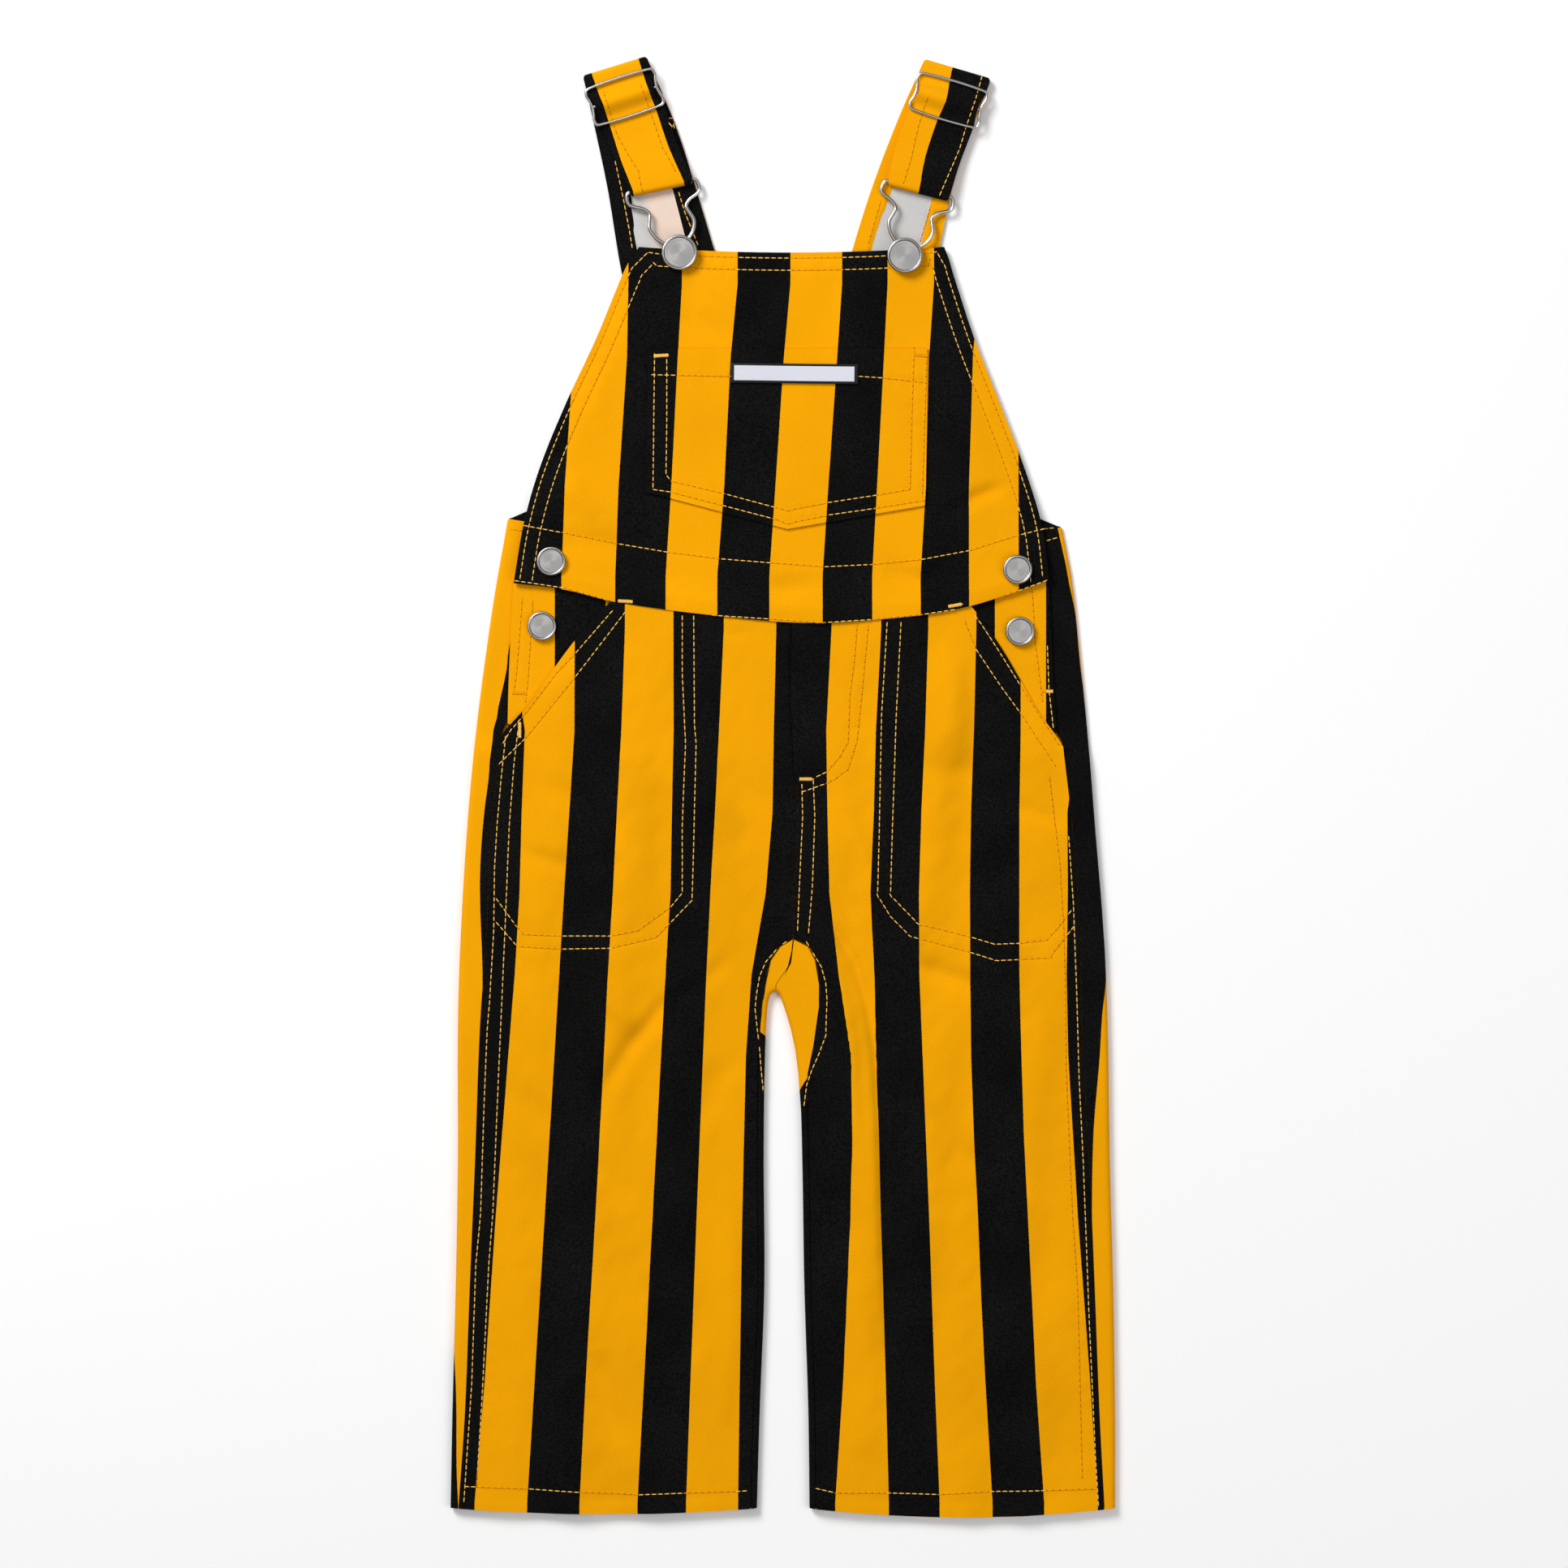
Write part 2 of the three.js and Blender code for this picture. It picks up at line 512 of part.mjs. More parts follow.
// Patch pocket on the bib, made from the bib's own surface moved out.
function bibPocket() {
  return sheetGeometry(10, evenly(8), (u, v) => {
    const x = lerp(POCKET.left - POCKET.flareLeft * v, POCKET.right - POCKET.flareRight * v, u);
    const half = x < POCKET.pointX ? POCKET.left : POCKET.right;
    const low = x < POCKET.pointX ? POCKET.lowLeft : POCKET.lowRight;
    const bottom = lerp(POCKET.pointY, low, Math.min(1, (x - POCKET.pointX) / (half - POCKET.pointX)));
    const y = lerp(POCKET.top, bottom, v);
    return { x, y, z: bibHeight(x, y) + LAYER };
  });
}

// Plain woven label on the pocket.
function pocketLabel() {
  const turn = THREE.MathUtils.degToRad(LABEL.turn);
  return sheetGeometry(6, evenly(2), (u, v) => {
    const [dx, dy] = [(u - 0.5) * LABEL.width, (0.5 - v) * LABEL.height];
    const x = LABEL.x + dx * Math.cos(turn) - dy * Math.sin(turn);
    const y = LABEL.y + dx * Math.sin(turn) + dy * Math.cos(turn);
    return { x, y, z: bibHeight(x, y) + LAYER + SEAM_GAP + LABEL.thick };
  }, LABEL.thick);
}

// Back above the waist seam, with its wraps at the sides.
function backBib() {
  const end = (row, side) => ({
    foldX: side === "Left" ? row.left : row.right, foldY: row["y" + side], turn: side === "Left" ? 180 : 0,
    endX: row["end" + side], endY: row["y" + side], layer: row.layer, rise: WRAP_TOP,
    leadX: row["end" + side] * 0.93,
  });
  return wallGeometry(BACK_SECTIONS.map((row) => backSection(end(row, "Left"), end(row, "Right"), 6)));
}

// Edges of a strap at a place along one of its stretches.
function strapEdges(stretch, t) {
  return {
    left: new THREE.Vector2(along(stretch, t, "leftX"), along(stretch, t, "leftY")),
    right: new THREE.Vector2(along(stretch, t, "rightX"), along(stretch, t, "rightY")),
  };
}

// Direction square to a fold line, on the side given by sign.
function squareTo({ left, right }, sign) {
  const across = right.clone().sub(left).normalize();
  return new THREE.Vector2(-across.y * sign, across.x * sign);
}

const STRAP_COLUMNS = 2;
function strapRow({ left, right }, outer, inner, shift = new THREE.Vector2(), innerShift = shift) {
  return evenly(STRAP_COLUMNS).map((u) => {
    const place = left.clone().lerp(right, u);
    return {
      outer: new THREE.Vector3(place.x + shift.x, place.y + shift.y, outer),
      inner: new THREE.Vector3(place.x + innerShift.x, place.y + innerShift.y, inner),
    };
  });
}

// A turn of the strap over a straight line: theta runs between the two faces.
function strapTurn(edges, normal, reach, lowZ, highZ, from, to) {
  const middle = (lowZ + highZ) / 2;
  const half = (highZ - lowZ) / 2;
  return evenly(6).map((t) => {
    const theta = lerp(from, to, t);
    const [c, s] = [Math.cos(theta), Math.sin(theta)];
    return strapRow(edges, middle + half * s, middle + (half - CLOTH) * s,
      normal.clone().multiplyScalar(reach * c), normal.clone().multiplyScalar((reach - CLOTH) * c));
  });
}

// The slide sits over the second quarter of the front stretch; the strap rises over its centre bar.
function slideBell(edges, slide) {
  const middle = edges.left.clone().lerp(edges.right, 0.5);
  const turn = THREE.MathUtils.degToRad(slide.turn);
  const offset = middle.sub(new THREE.Vector2(slide.x, slide.y));
  const distance = Math.abs(offset.dot(new THREE.Vector2(-Math.sin(turn), Math.cos(turn))));
  const reach = SLIDE.halfLength - 2 * SLIDE.wire - 0.1;
  return distance < reach ? Math.cos((distance / reach) * (Math.PI / 2)) ** 2 : 0;
}

function strap(spec) {
  const quarter = Math.PI / 2;
  const back = evenly(8).map((t) => strapRow(strapEdges(spec.back, t), 0, CLOTH));
  const topEdges = strapEdges(spec.back, 1);
  const upward = squareTo(topEdges, 1);
  const top = strapTurn(topEdges, upward, STRAP.foldReach, 0, STRAP.foldTop, -quarter, quarter);
  const barEdges = strapEdges(spec.front, 1);
  const crest = SLIDE.z + SLIDE.wire + SEAM_GAP + CLOTH - STRAP.foldTop;
  const frontSteps = evenly(26).slice(1, -1);
  const front = frontSteps.map((t) => {
    const edges = strapEdges(spec.front, t);
    const bell = slideBell(edges, spec.slide);
    const inset = (STRAP.pinch * Math.sqrt(bell)) / edges.left.distanceTo(edges.right);
    const { left, right } = edges;
    const pinched = { left: left.clone().lerp(right, inset), right: right.clone().lerp(left, inset) };
    const slope = ease(t, 0.6, 0.98) * (STRAP.barTop - STRAP.foldTop);
    const z = STRAP.foldTop + slope + crest * bell;
    return strapRow(pinched, z, z - CLOTH);
  });
  const barLow = STRAP.returnTop - CLOTH;
  const barReach = (STRAP.barTop - barLow) / 2;
  const downward = squareTo(barEdges, -1);
  const bar = strapTurn(barEdges, downward, barReach, barLow, STRAP.barTop, quarter, -quarter);
  const returned = evenly(5).slice(1).map((t) =>
    strapRow(strapEdges(spec.front, lerp(1, 0.4, t)), barLow, STRAP.returnTop));
  return wallGeometry([...back, ...top.slice(1), ...front, ...bar, ...returned]);
}

const wasm = await Module();
wasm.setup();

function toSolid(geometry) {
  const plain = geometry.clone();
  plain.deleteAttribute("normal");
  plain.deleteAttribute("uv");
  const merged = mergeVertices(plain, 1e-3);
  return new wasm.Manifold(new wasm.Mesh({
    numProp: 3,
    vertProperties: new Float32Array(merged.attributes.position.array),
    triVerts: new Uint32Array(merged.index.array),
  }));
}

function joined(geometries) {
  const solid = geometries.map(toSolid).reduce((sum, next) => sum.add(next));
  const { vertProperties, triVerts } = solid.getMesh();
  const geometry = new THREE.BufferGeometry();
  geometry.setAttribute("position", new THREE.BufferAttribute(vertProperties, 3));
  geometry.setIndex(new THREE.BufferAttribute(triVerts, 1));
  geometry.computeVertexNormals();
  return geometry;
}

// Slide: a rounded frame of wire, waisted at its sides, with a bar across its middle.
function slideGeometry() {
  const { halfWidth: w, halfLength: l, corner: r, waist, wire } = SLIDE;
  const quarterOutline = [[w - r, l], [w, l - r], [w - waist * 0.6, l * 0.35], [w - waist, 0]];
  const corners = [
    ...quarterOutline,
    ...quarterOutline.slice(0, -1).reverse().map(([x, y]) => [x, -y]),
    ...quarterOutline.map(([x, y]) => [-x, -y]),
    ...quarterOutline.slice(0, -1).reverse().map(([x, y]) => [-x, y]),
  ];
  const points = corners.map(([x, y]) => new THREE.Vector3(x, y, 0));
  const path = new THREE.CatmullRomCurve3(points, true, "centripetal");
  const frame = new THREE.TubeGeometry(path, 36, wire, 5, true);
  const bar = new THREE.CylinderGeometry(wire, wire, 2 * (w - waist), 5);
  bar.rotateZ(Math.PI / 2);
  return joined([frame, bar]);
}

// Wire loop: bar in the strap's lower fold, shoulders, neck, and a slot round the button shank.
function loopGeometry(spec) {
  const ends = strapEdges(spec.front, 1);
  const origin = ends.left.clone().lerp(ends.right, 0.5);
  const across = ends.right.clone().sub(ends.left).normalize();
  const button = new THREE.Vector2(spec.button.x, spec.button.y);
  const down = button.sub(origin).divideScalar(LOOP.buttonV);
  const wireZ = seatOnBib(spec.button.x, spec.button.y, LOOP.slot + LOOP.wire) + LOOP.wire;
  const half = LOOP_OUTLINE.map(({ u, v }) => [u, v]);
  const outline = [...half, [0, LOOP_END_V], ...half.map(([u, v]) => [-u, v]).reverse()];
  const points = outline.map(([u, v]) => {
    const place = origin.clone().addScaledVector(across, u).addScaledVector(down, v);
    return new THREE.Vector3(place.x, place.y, lerp(LOOP.barZ, wireZ, ease(v, 4, 22)));
  });
  const path = new THREE.CatmullRomCurve3(points, true, "centripetal");
  return new THREE.TubeGeometry(path, 60, LOOP.wire, 5, true);
}

// Button turned about Z, with a rolled rim round a sunk face.
function buttonGeometry({ radius, shank, lift, head }) {
  const rim = radius * 0.82;
  const profile = [
    [0, 0], [shank, 0], [shank, lift], [radius - 0.7, lift], [radius, lift + 0.7],
    [radius - 0.2, lift + head - 0.5], [radius - 0.9, lift + head], [rim, lift + head - 0.6],
    [rim * 0.55, lift + head - 0.3], [0, lift + head - 0.1],
  ];
  const turned = new THREE.LatheGeometry(profile.map(([r, z]) => new THREE.Vector2(r, z)), 18);
  turned.rotateX(Math.PI / 2);
  return turned;
}

// The garment, named piece by piece; left and right are as seen from above.
const overalls = new THREE.Group();
function add(name, geometry, material) {
  const mesh = new THREE.Mesh(geometry, material);
  mesh.name = name;
  overalls.add(mesh);
  return mesh;
}

const sides = {
  left: { strapSpec: STRAP_LEFT, facing: FACING_LEFT },
  right: { strapSpec: STRAP_RIGHT, facing: FACING_RIGHT },
};
for (const [side, { strapSpec, facing }] of Object.entries(sides)) {
  add("back_leg_" + side, backLeg(side), twillDark);
  add("front_leg_" + side, frontLeg(side), twill);
  add("hip_facing_" + side, hipFacing(facing), twillDark);
  add("strap_" + side, strap(strapSpec), twillDark);
  const slide = add("slide_" + side, slideGeometry(), wireSteel);
  slide.position.set(strapSpec.slide.x, strapSpec.slide.y, SLIDE.z);
  slide.rotation.z = THREE.MathUtils.degToRad(strapSpec.slide.turn);
  add("wire_loop_" + side, loopGeometry(strapSpec), wireSteel);
  const button = add("bib_button_" + side, buttonGeometry(BIB_BUTTON), buttonMetal);
  const { x, y } = strapSpec.button;
  button.position.set(x, y, seatOnBib(x, y, BIB_BUTTON.shank));
}
add("back_bib", backBib(), twillDark);
add("front_bib", bibPanel(), twill);
add("bib_pocket", bibPocket(), twillDark);
add("pocket_label", pocketLabel(), labelCloth);
for (const { name, x, y, on } of SIDE_BUTTONS) {
  const button = add(name, buttonGeometry(SIDE_BUTTON), buttonMetal);
  const seat = on === "bib" ? seatOnBib(x, y, SIDE_BUTTON.shank) : FACING_TOP + SEAM_GAP;
  button.position.set(x, y, seat);
}

// Centre the whole on the middle of its own footprint.
overalls.updateMatrixWorld(true);
const box = new THREE.Box3().setFromObject(overalls, true);
overalls.position.set(-(box.min.x + box.max.x) / 2, -(box.min.y + box.max.y) / 2, -box.min.z);

export default overalls;
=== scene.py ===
"""Kids bib overalls of striped twill, laid flat with the front up: cloth, sewing and metal parts.

Tables are in millimetres from the middle of the garment, +X to the right as seen from above and
+Y to the straps. Left and right are as seen from above. Seam lines are in steps of the photograph,
0.39 mm each, counted from its top left corner.
"""
import math

import bpy
import numpy as np
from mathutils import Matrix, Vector
from mathutils.bvhtree import BVHTree


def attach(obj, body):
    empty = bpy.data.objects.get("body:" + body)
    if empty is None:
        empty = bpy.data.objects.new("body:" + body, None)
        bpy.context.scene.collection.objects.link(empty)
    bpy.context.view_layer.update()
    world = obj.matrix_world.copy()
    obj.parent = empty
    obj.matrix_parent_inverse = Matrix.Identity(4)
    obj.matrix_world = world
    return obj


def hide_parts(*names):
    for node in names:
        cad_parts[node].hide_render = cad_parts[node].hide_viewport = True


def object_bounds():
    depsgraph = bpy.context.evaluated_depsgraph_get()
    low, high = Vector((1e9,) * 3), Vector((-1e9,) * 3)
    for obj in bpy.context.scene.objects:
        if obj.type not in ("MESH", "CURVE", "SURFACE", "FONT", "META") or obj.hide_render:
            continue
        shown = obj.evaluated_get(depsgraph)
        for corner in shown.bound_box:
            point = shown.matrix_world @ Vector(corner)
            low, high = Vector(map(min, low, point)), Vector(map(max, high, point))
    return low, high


bl_info = {
    "name": "Bib Overalls",
    "version": (1, 0, 0),
    "blender": (4, 5, 0),
    "location": "View3D > Sidebar > Overalls",
    "description": "Kids bib overalls of striped twill, laid flat on the packed frame",
    "category": "Add Mesh",
}

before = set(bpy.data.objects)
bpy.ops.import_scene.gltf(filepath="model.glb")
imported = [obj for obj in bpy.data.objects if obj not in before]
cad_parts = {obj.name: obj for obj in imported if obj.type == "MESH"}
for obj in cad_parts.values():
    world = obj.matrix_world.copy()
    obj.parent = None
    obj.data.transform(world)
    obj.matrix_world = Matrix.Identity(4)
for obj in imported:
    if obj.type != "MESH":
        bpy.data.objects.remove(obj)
CAD_BOX = [list(corner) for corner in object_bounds()]

MM = 0.001
MIDDLE = np.array([-0.028, 0.347])
STEP = 0.39
PHOTO_MIDDLE = np.array([964.5, 968.0])

# Heights of the layers of cloth above the floor.
CLOTH = 1.1
GAP = 0.3
LAYER = CLOTH + GAP
WRAP_TOP = 2.7
FACING_TOP = WRAP_TOP + LAYER
HIP_TOP = FACING_TOP + LAYER
WAIST_TOP = HIP_TOP + LAYER
LEG_TOP = 4.7
BIB_TOP = 4.7
FOLD_REACH = 2.6
TUCK = 5
HEM_Y = -346.5
CROTCH_Y = -73.5

# Outlines, each column read smoothly down its first one.
OUTER_FOLDS = {
    "y": [128, 97, 60, 24, -20, -73.5, -117, -180, -240, -300, -347],
    "left": [-131.5, -137.5, -143, -147.5, -151.5, -154.7, -156, -156, -157, -158.6, -159.5],
    "right": [133, 139, 143, 146.5, 150, 154.3, 156, 157, 158.6, 159.5, 159.5],
}
SIDE_SEAMS = {
    "y": [97, 60, 24, -20, -73.5, -117, -180, -240, -300, -347],
    "left": [-128, -131, -135, -140, -142.3, -145.2, -147.5, -150, -152.3, -155.5],
    "right": [128, 131, 134, 139, 142.8, 143.5, 147, 149.5, 151.8, 154.3],
}
INNER_FOLDS = {
    "y": [-117, -145, -180, -240, -300, -347],
    "left": [-8.1, -8.8, -9.1, -8.8, -11, -12.4],
    "right": [3.9, 8, 9.3, 10.3, 12.2, 12.8],
}
POCKET_MOUTHS = {
    "y": [93, 88, 65, 37, 24, 18],
    "left": [-76, -80, -99.5, -123.5, -135, -135.7],
    "right": [85, 88.3, 103.5, 121.5, 131, 134.8],
}
CENTRE_SEAM = {"y": [93, 50, -15, -57, CROTCH_Y], "x": [5.5, 4.6, 7, 5.5, 5]}
WAIST_SEAM = {
    "x": [-129, -105, -80, -32, 14, 65.5, 89.5, 113.5, 127.5],
    "y": [97, 94, 88, 81.5, 78, 81.5, 86, 93.5, 98.5],
}
BIB_SIDES = {
    "y": [97, 124.5, 151.5, 182.5, 213.5, 244.5, 252, 258],
    "left": [-129, -124.5, -117, -104.5, -90, -77, -73.2, -69],
    "right": [127.6, 124.3, 116.3, 104.5, 92.3, 82, 79.8, 77.5],
}
BIB_CORNER, BIB_MIDDLE, BIB_HALF = 258.5, 255.8, 73
EDGE_SEAMS = (2.7, 8.6)
# Patch pocket: top corners, their lean, the heights of top, point and bottom corners.
POCKET = {"left": -64.3, "right": 69.6, "leanLeft": 1.8, "leanRight": 1.1, "pointX": 2,
          "top": 209.5, "point": 123, "lowLeft": 140.5, "lowRight": 134.6}
# Label: middle, turn in degrees, size, borders, thickness and distance of its ribs.
LABEL = {"x": 5.5, "y": 197.5, "turn": -0.7, "width": 61, "height": 9.4,
         "sideBorder": 1.7, "endBorder": 1.15, "thick": 1, "rib": 0.45}

# The crotch, where the back panels come forward: side, fold, its turn, and the inseam.
CROTCH = {
    "left": [
        (-76, -2.2, -95, -90, 0.5, -84, -1), (-81, -3.45, -99, -90, -3.45, -99, -0.9),
        (-84, -3.45, -99, -90, -3.45, -99, 0), (-87, -3.45, -99, -90, -3.45, -95.5, 1),
        (-90, -4.3, -99.1, -80, 3.7, -85, 1), (-94, -5.2, -99.7, -62, 4.7, -74, 1),
        (-98, -6.3, -101.1, -40, -1, -77.3, 1), (-103, -7.1, -104.3, -20, -5.6, -84, 1),
        (-109, -7.6, -109.5, -8, -8.2, -96, 1), (-117, -8.1, -117, -4, -10.4, -111, 1),
    ],
    "right": [
        (-76, -1, -95, -90, 1, -84, -1), (-81, -3.15, -99, -90, -3.15, -99, -0.9),
        (-84, -3.15, -99, -90, -3.15, -99, 0), (-87, -3.15, -99, -90, -3.15, -95.5, 1),
        (-90, -2.5, -99.3, -105, 4, -85, 1), (-94, -1.6, -100.3, -125, 5.4, -74, 1),
        (-98, -0.9, -102.3, -145, 12, -77.3, 1), (-103, 0.4, -105.7, -158, 15.4, -84, 1),
        (-109, 2.0, -110.5, -162, 17.3, -95.5, 1), (-117, 3.9, -117, -166, 17.3, -106, 1),
        (-127, 6, -127, -170, 14.6, -125, 1), (-138, 7.4, -138, -174, 11.9, -138, 1),
    ],
}
INSEAM_ARCH = {
    "left": {"y": [CROTCH_Y, -76.8, -83.5, -95.5, -110.5, -132], "x": [4.8, -1.3, -5.9, -8.5, -10.7, -12]},
    "right": {
        "y": [CROTCH_Y, -76.8, -83.5, -95, -105.5, -124.5, -137.5, -155],
        "x": [5.2, 12.3, 15.7, 17.6, 17.6, 14.9, 12.2, 12.2],
    },
}
HIP_END = {"left": 24, "right": 18}
HEM_SAG = {"left": 3, "right": 4.5}

# Stripe edges across each panel, in photo steps, a row for each height: black lies left of the
# first edge, then yellow and black in turn. One stripe is 24.5 mm.
STRIPE = 62.8
BIB_STRIPES = {
    350: (709, 774.5, 840.5, 909, 974, 1037.5, 1093.5, 1150.5, 1206, 1262),
    440: (707, 773, 835.5, 900.5, 966, 1031.5, 1089, 1144.5, 1198.5, 1254),
    600: (696.5, 762.5, 827.5, 892.5, 955.5, 1020.5, 1080.5, 1140.5, 1193.5, 1254.5),
    710: (692.5, 758.5, 820.5, 884, 948, 1013.5, 1074.5, 1134, 1193.5, 1254.5),
}
LEG_STRIPES = {
    "left": {
        775: (628, 709, 770.5, 830, 892, 956.5), 900: (647.5, 708.5, 766, 830.5, 886, 953.5),
        1000: (643.5, 702, 760.5, 828.5, 881, 952), 1100: (641, 695.5, 755.5, 826.5, 875.5, 943.5),
        1200: (635, 689.5, 749.5, 820.5, 870.5, 926), 1300: (627, 683.5, 744.5, 815, 866.5, 919),
        1500: (611.5, 671.5, 734, 804.5, 858.5, 914.5), 1700: (598, 659.5, 722, 794, 851, 911.5),
        1850: (585.5, 650, 714.5, 786, 845.5, 909.5),
    },
    "right": {
        775: (1024.5, 1085.5, 1143.5, 1202.5, 1257, 1318), 900: (1018, 1079, 1139.5, 1199.5, 1257, 1318),
        975: (1019.1, 1077.1, 1136.1, 1196.9, 1255.9, 1318),
        1000: (1019.5, 1076.5, 1135, 1196, 1255.5, 1314.5), 1100: (1022, 1072, 1132, 1194.5, 1255.5, 1315),
        1200: (1033.5, 1077, 1132.5, 1195, 1255.5, 1313.5), 1300: (1049, 1079, 1136.5, 1196, 1258, 1315.5),
        1400: (1050.5, 1082.5, 1140.5, 1199.5, 1261, 1321.5),
        1500: (1048, 1085, 1144.5, 1204.5, 1266, 1327.5),
        1600: (1043.5, 1088, 1148, 1208.5, 1271, 1335), 1700: (1039, 1091, 1151.5, 1213.5, 1275.5, 1342.5),
        1850: (1029, 1095, 1157.5, 1222.5, 1286, 1352),
    },
}
# Stripe count at the side seams of the back panels, by height in photo steps. Yellow at the crotch
# gives way to black between these heights, in millimetres.
CROTCH_YELLOW = {"left": (-104, -119), "right": (-139, -155)}
BACK_STRIPES = {
    "left": {
        "y": [700, 760, 804, 824, 865, 876, 891, 906, 937, 960, 1000, 1100, 1200, 1300, 1400, 1500, 1600,
              1700, 1800, 1857],
        "s": [0.1, -0.1, -0.19, -0.19, -0.257, -0.273, -0.22, -0.165, -0.16, -0.14, -0.15, -0.15, -0.02,
              0.12, 0.28, 0.45, 0.62, 0.79, 0.90, 1.0],
    },
    "right": {
        "y": [712, 734, 760, 814, 845, 865, 891, 906, 922, 1100, 1200, 1250, 1300, 1400, 1500, 1600, 1860],
        "s": [-0.51, -0.563, -0.608, -0.616, -0.64, -0.66, -0.66, -0.60, -0.53, -0.5, -0.49, -0.40, -0.32,
              -0.10, 0, 0.02, 0.02],
    },
}
# Stripe width on the back, the stretch from the side seam that keeps it, and the stripe count at
# the inseam, with what it gains where black takes over and the least count on the yellow there.
BACK_STRIPE, SIDE_WRAP = 24.5, 22
INSEAM_COUNT, INSEAM_GAIN, INSEAM_LEAST = 6.97, 0.45, 6.04

# Right wrap of the back: edge of its black stripe at each height.
BACK_TOP_STRIPE = ([92.8, 106, 119, 128], [138.2, 135.9, 133, 131])

# Straps: edges up the back, then down the front, the slide and the button.
STRAPS = {
    "left": {
        "back": [(-66, 200, -17, 200), (-77, 244.5, -30, 247), (-84, 286, -41.5, 286),
                 (-91, 319, -51.5, 317), (-95.5, 338.8, -64.7, 348.3)],
        "front": [(-95.5, 338.8, -64.7, 348.3), (-91, 325.1, -60.6, 335), (-86.7, 315.8, -56.6, 325.6),
                  (-80.2, 300.6, -50.4, 307.8), (-73.5, 284.7, -43.3, 291)],
        "slide": (-75.9, 330.2, 18), "button": (-49.5, 255.4),
        "bands": [(0.14, 0.87), (0.16, 0.875), (0.12, 0.86), (0.07, 0.85), (0.055, 0.86)],
        "hems": (0.193, 0.755), "hem_stripe": -0.5, "ghost": (0.4, 0.6),
    },
    "right": {
        "back": [(19, 200, 62, 200), (30, 245, 72.5, 245), (42, 284.5, 80.5, 283),
                 (55, 319, 88.4, 308.6), (67.3, 346.9, 99.3, 337.5)],
        "front": [(67.3, 346.9, 99.3, 337.5), (64.3, 333.3, 94.7, 324.2), (60, 322.8, 90.4, 313),
                  (53.9, 305, 84.4, 296.9), (50.7, 290.1, 80, 282.5)],
        "slide": (79.4, 328.6, -16.7), "button": (58.5, 254),
        "bands": [(-0.6, 0.43), (-0.6, 0.47), (-0.6, 0.455), (-0.6, 0.475), (-0.6, 0.51)],
        "hems": (0.2, 0.80), "hem_stripe": 0.5, "ghost": (1.5, 0.6),
    },
}
STRAP_FOLD, STRAP_REACH, STRAP_BAR, STRAP_RETURN, STRAP_PINCH = 4.2, 2.1, 6, 2.5, 1.2
SLIDE = {"halfWidth": 17.2, "halfLength": 9.1, "corner": 2.6, "waist": 1.2, "wire": 0.75, "z": 5.4}
LOOP = {"wire": 0.9, "barZ": 3.7, "buttonV": 31, "slot": 3.45}
LOOP_OUTLINE = [(8, 0), (15.6, 0), (17.3, 1.5), (17.1, 5.6), (11.2, 8.6), (9, 11.2), (9.7, 14),
                (10.8, 18), (9, 22.5), (5, 26.6), (3.45, 30), (2.9, 32.6)]
BIB_BUTTON = {"radius": 8.5, "shank": 2.2, "lift": 2.6, "head": 2.3}
SIDE_BUTTON = {"radius": 7, "shank": 3, "lift": 0.6, "head": 2}
SIDE_BUTTONS = {
    "side_button_left_upper": (-111, 107.5, "bib"), "side_button_left_lower": (-115.5, 76.5, "facing"),
    "side_button_right_upper": (112.5, 103.5, "bib"), "side_button_right_lower": (113.7, 74, "facing"),
}
FACINGS = {
    "left": [(-129, 102, -74, 95), (-130.5, 73.5, -95.5, 61), (-131.5, 50, -117, 36.5), (-132, 30, -127, 26)],
    "right": [(127.3, 103, 83, 93), (128.7, 78, 97.5, 65.5), (129.8, 50, 113.5, 41), (131.5, 26, 126.5, 21)],
}
# The back above its waist seam: heights and folds at both sides, ends of the wraps, and layer.
BACK_BIB = [
    (100, 100, -137, 138.7, -122, 122, 1), (110, 109, -135.2, 136.9, -120, 121, 1),
    (119, 116, -133.6, 135.6, -119, 120, 1), (126, 122, -132.4, 134.4, -119, 120, 1),
    (127.6, 123.6, -132.1, 134.1, -129, 131, 1), (128.2, 124.2, -132, 134, -129, 131, 0),
    (128.8, 124.8, -132, 134, -129, 131, -0.9), (134, 130, -129, 130, -118, 119, -1),
    (146, 143, -129, 130, -104, 105, -1), (164, 162, -129, 130, -89, 89, -1),
    (182, 181, -129, 130, -76, 75, -1), (199.7, 199.7, -129, 130, -67, 64, -1),
]

# Topstitched lines in photo steps, by piece.
BIB_LINES = {
    "waistband": [(645, 648), (694, 657), (760, 670), (823, 681), (886, 689), (949, 694), (1015, 699),
                  (1075, 696), (1135, 690), (1194, 679), (1255, 660), (1287, 652)],
    "waist": [(634, 716), (695, 725), (759, 743), (820, 753), (883, 759), (945, 763), (1010, 768),
              (1074, 764), (1134, 758), (1194, 749), (1256, 728), (1291, 715)],
}
POCKET_LINES = {
    "outer": [(807, 436), (806, 520), (805, 604), (826, 607), (892, 624), (957, 641), (969, 646),
              (1023, 635), (1080, 627), (1136, 618), (1139, 520), (1142, 430)],
    "inner": [(822, 443), (822, 520), (821, 586), (828, 594), (892, 609), (955, 626), (969, 630), (1021, 620),
              (1080, 611), (1121, 604), (1123, 520), (1126, 432)],
    "hem": [(802, 463), (900, 465), (1058, 465), (1087, 467), (1141, 473)],
}
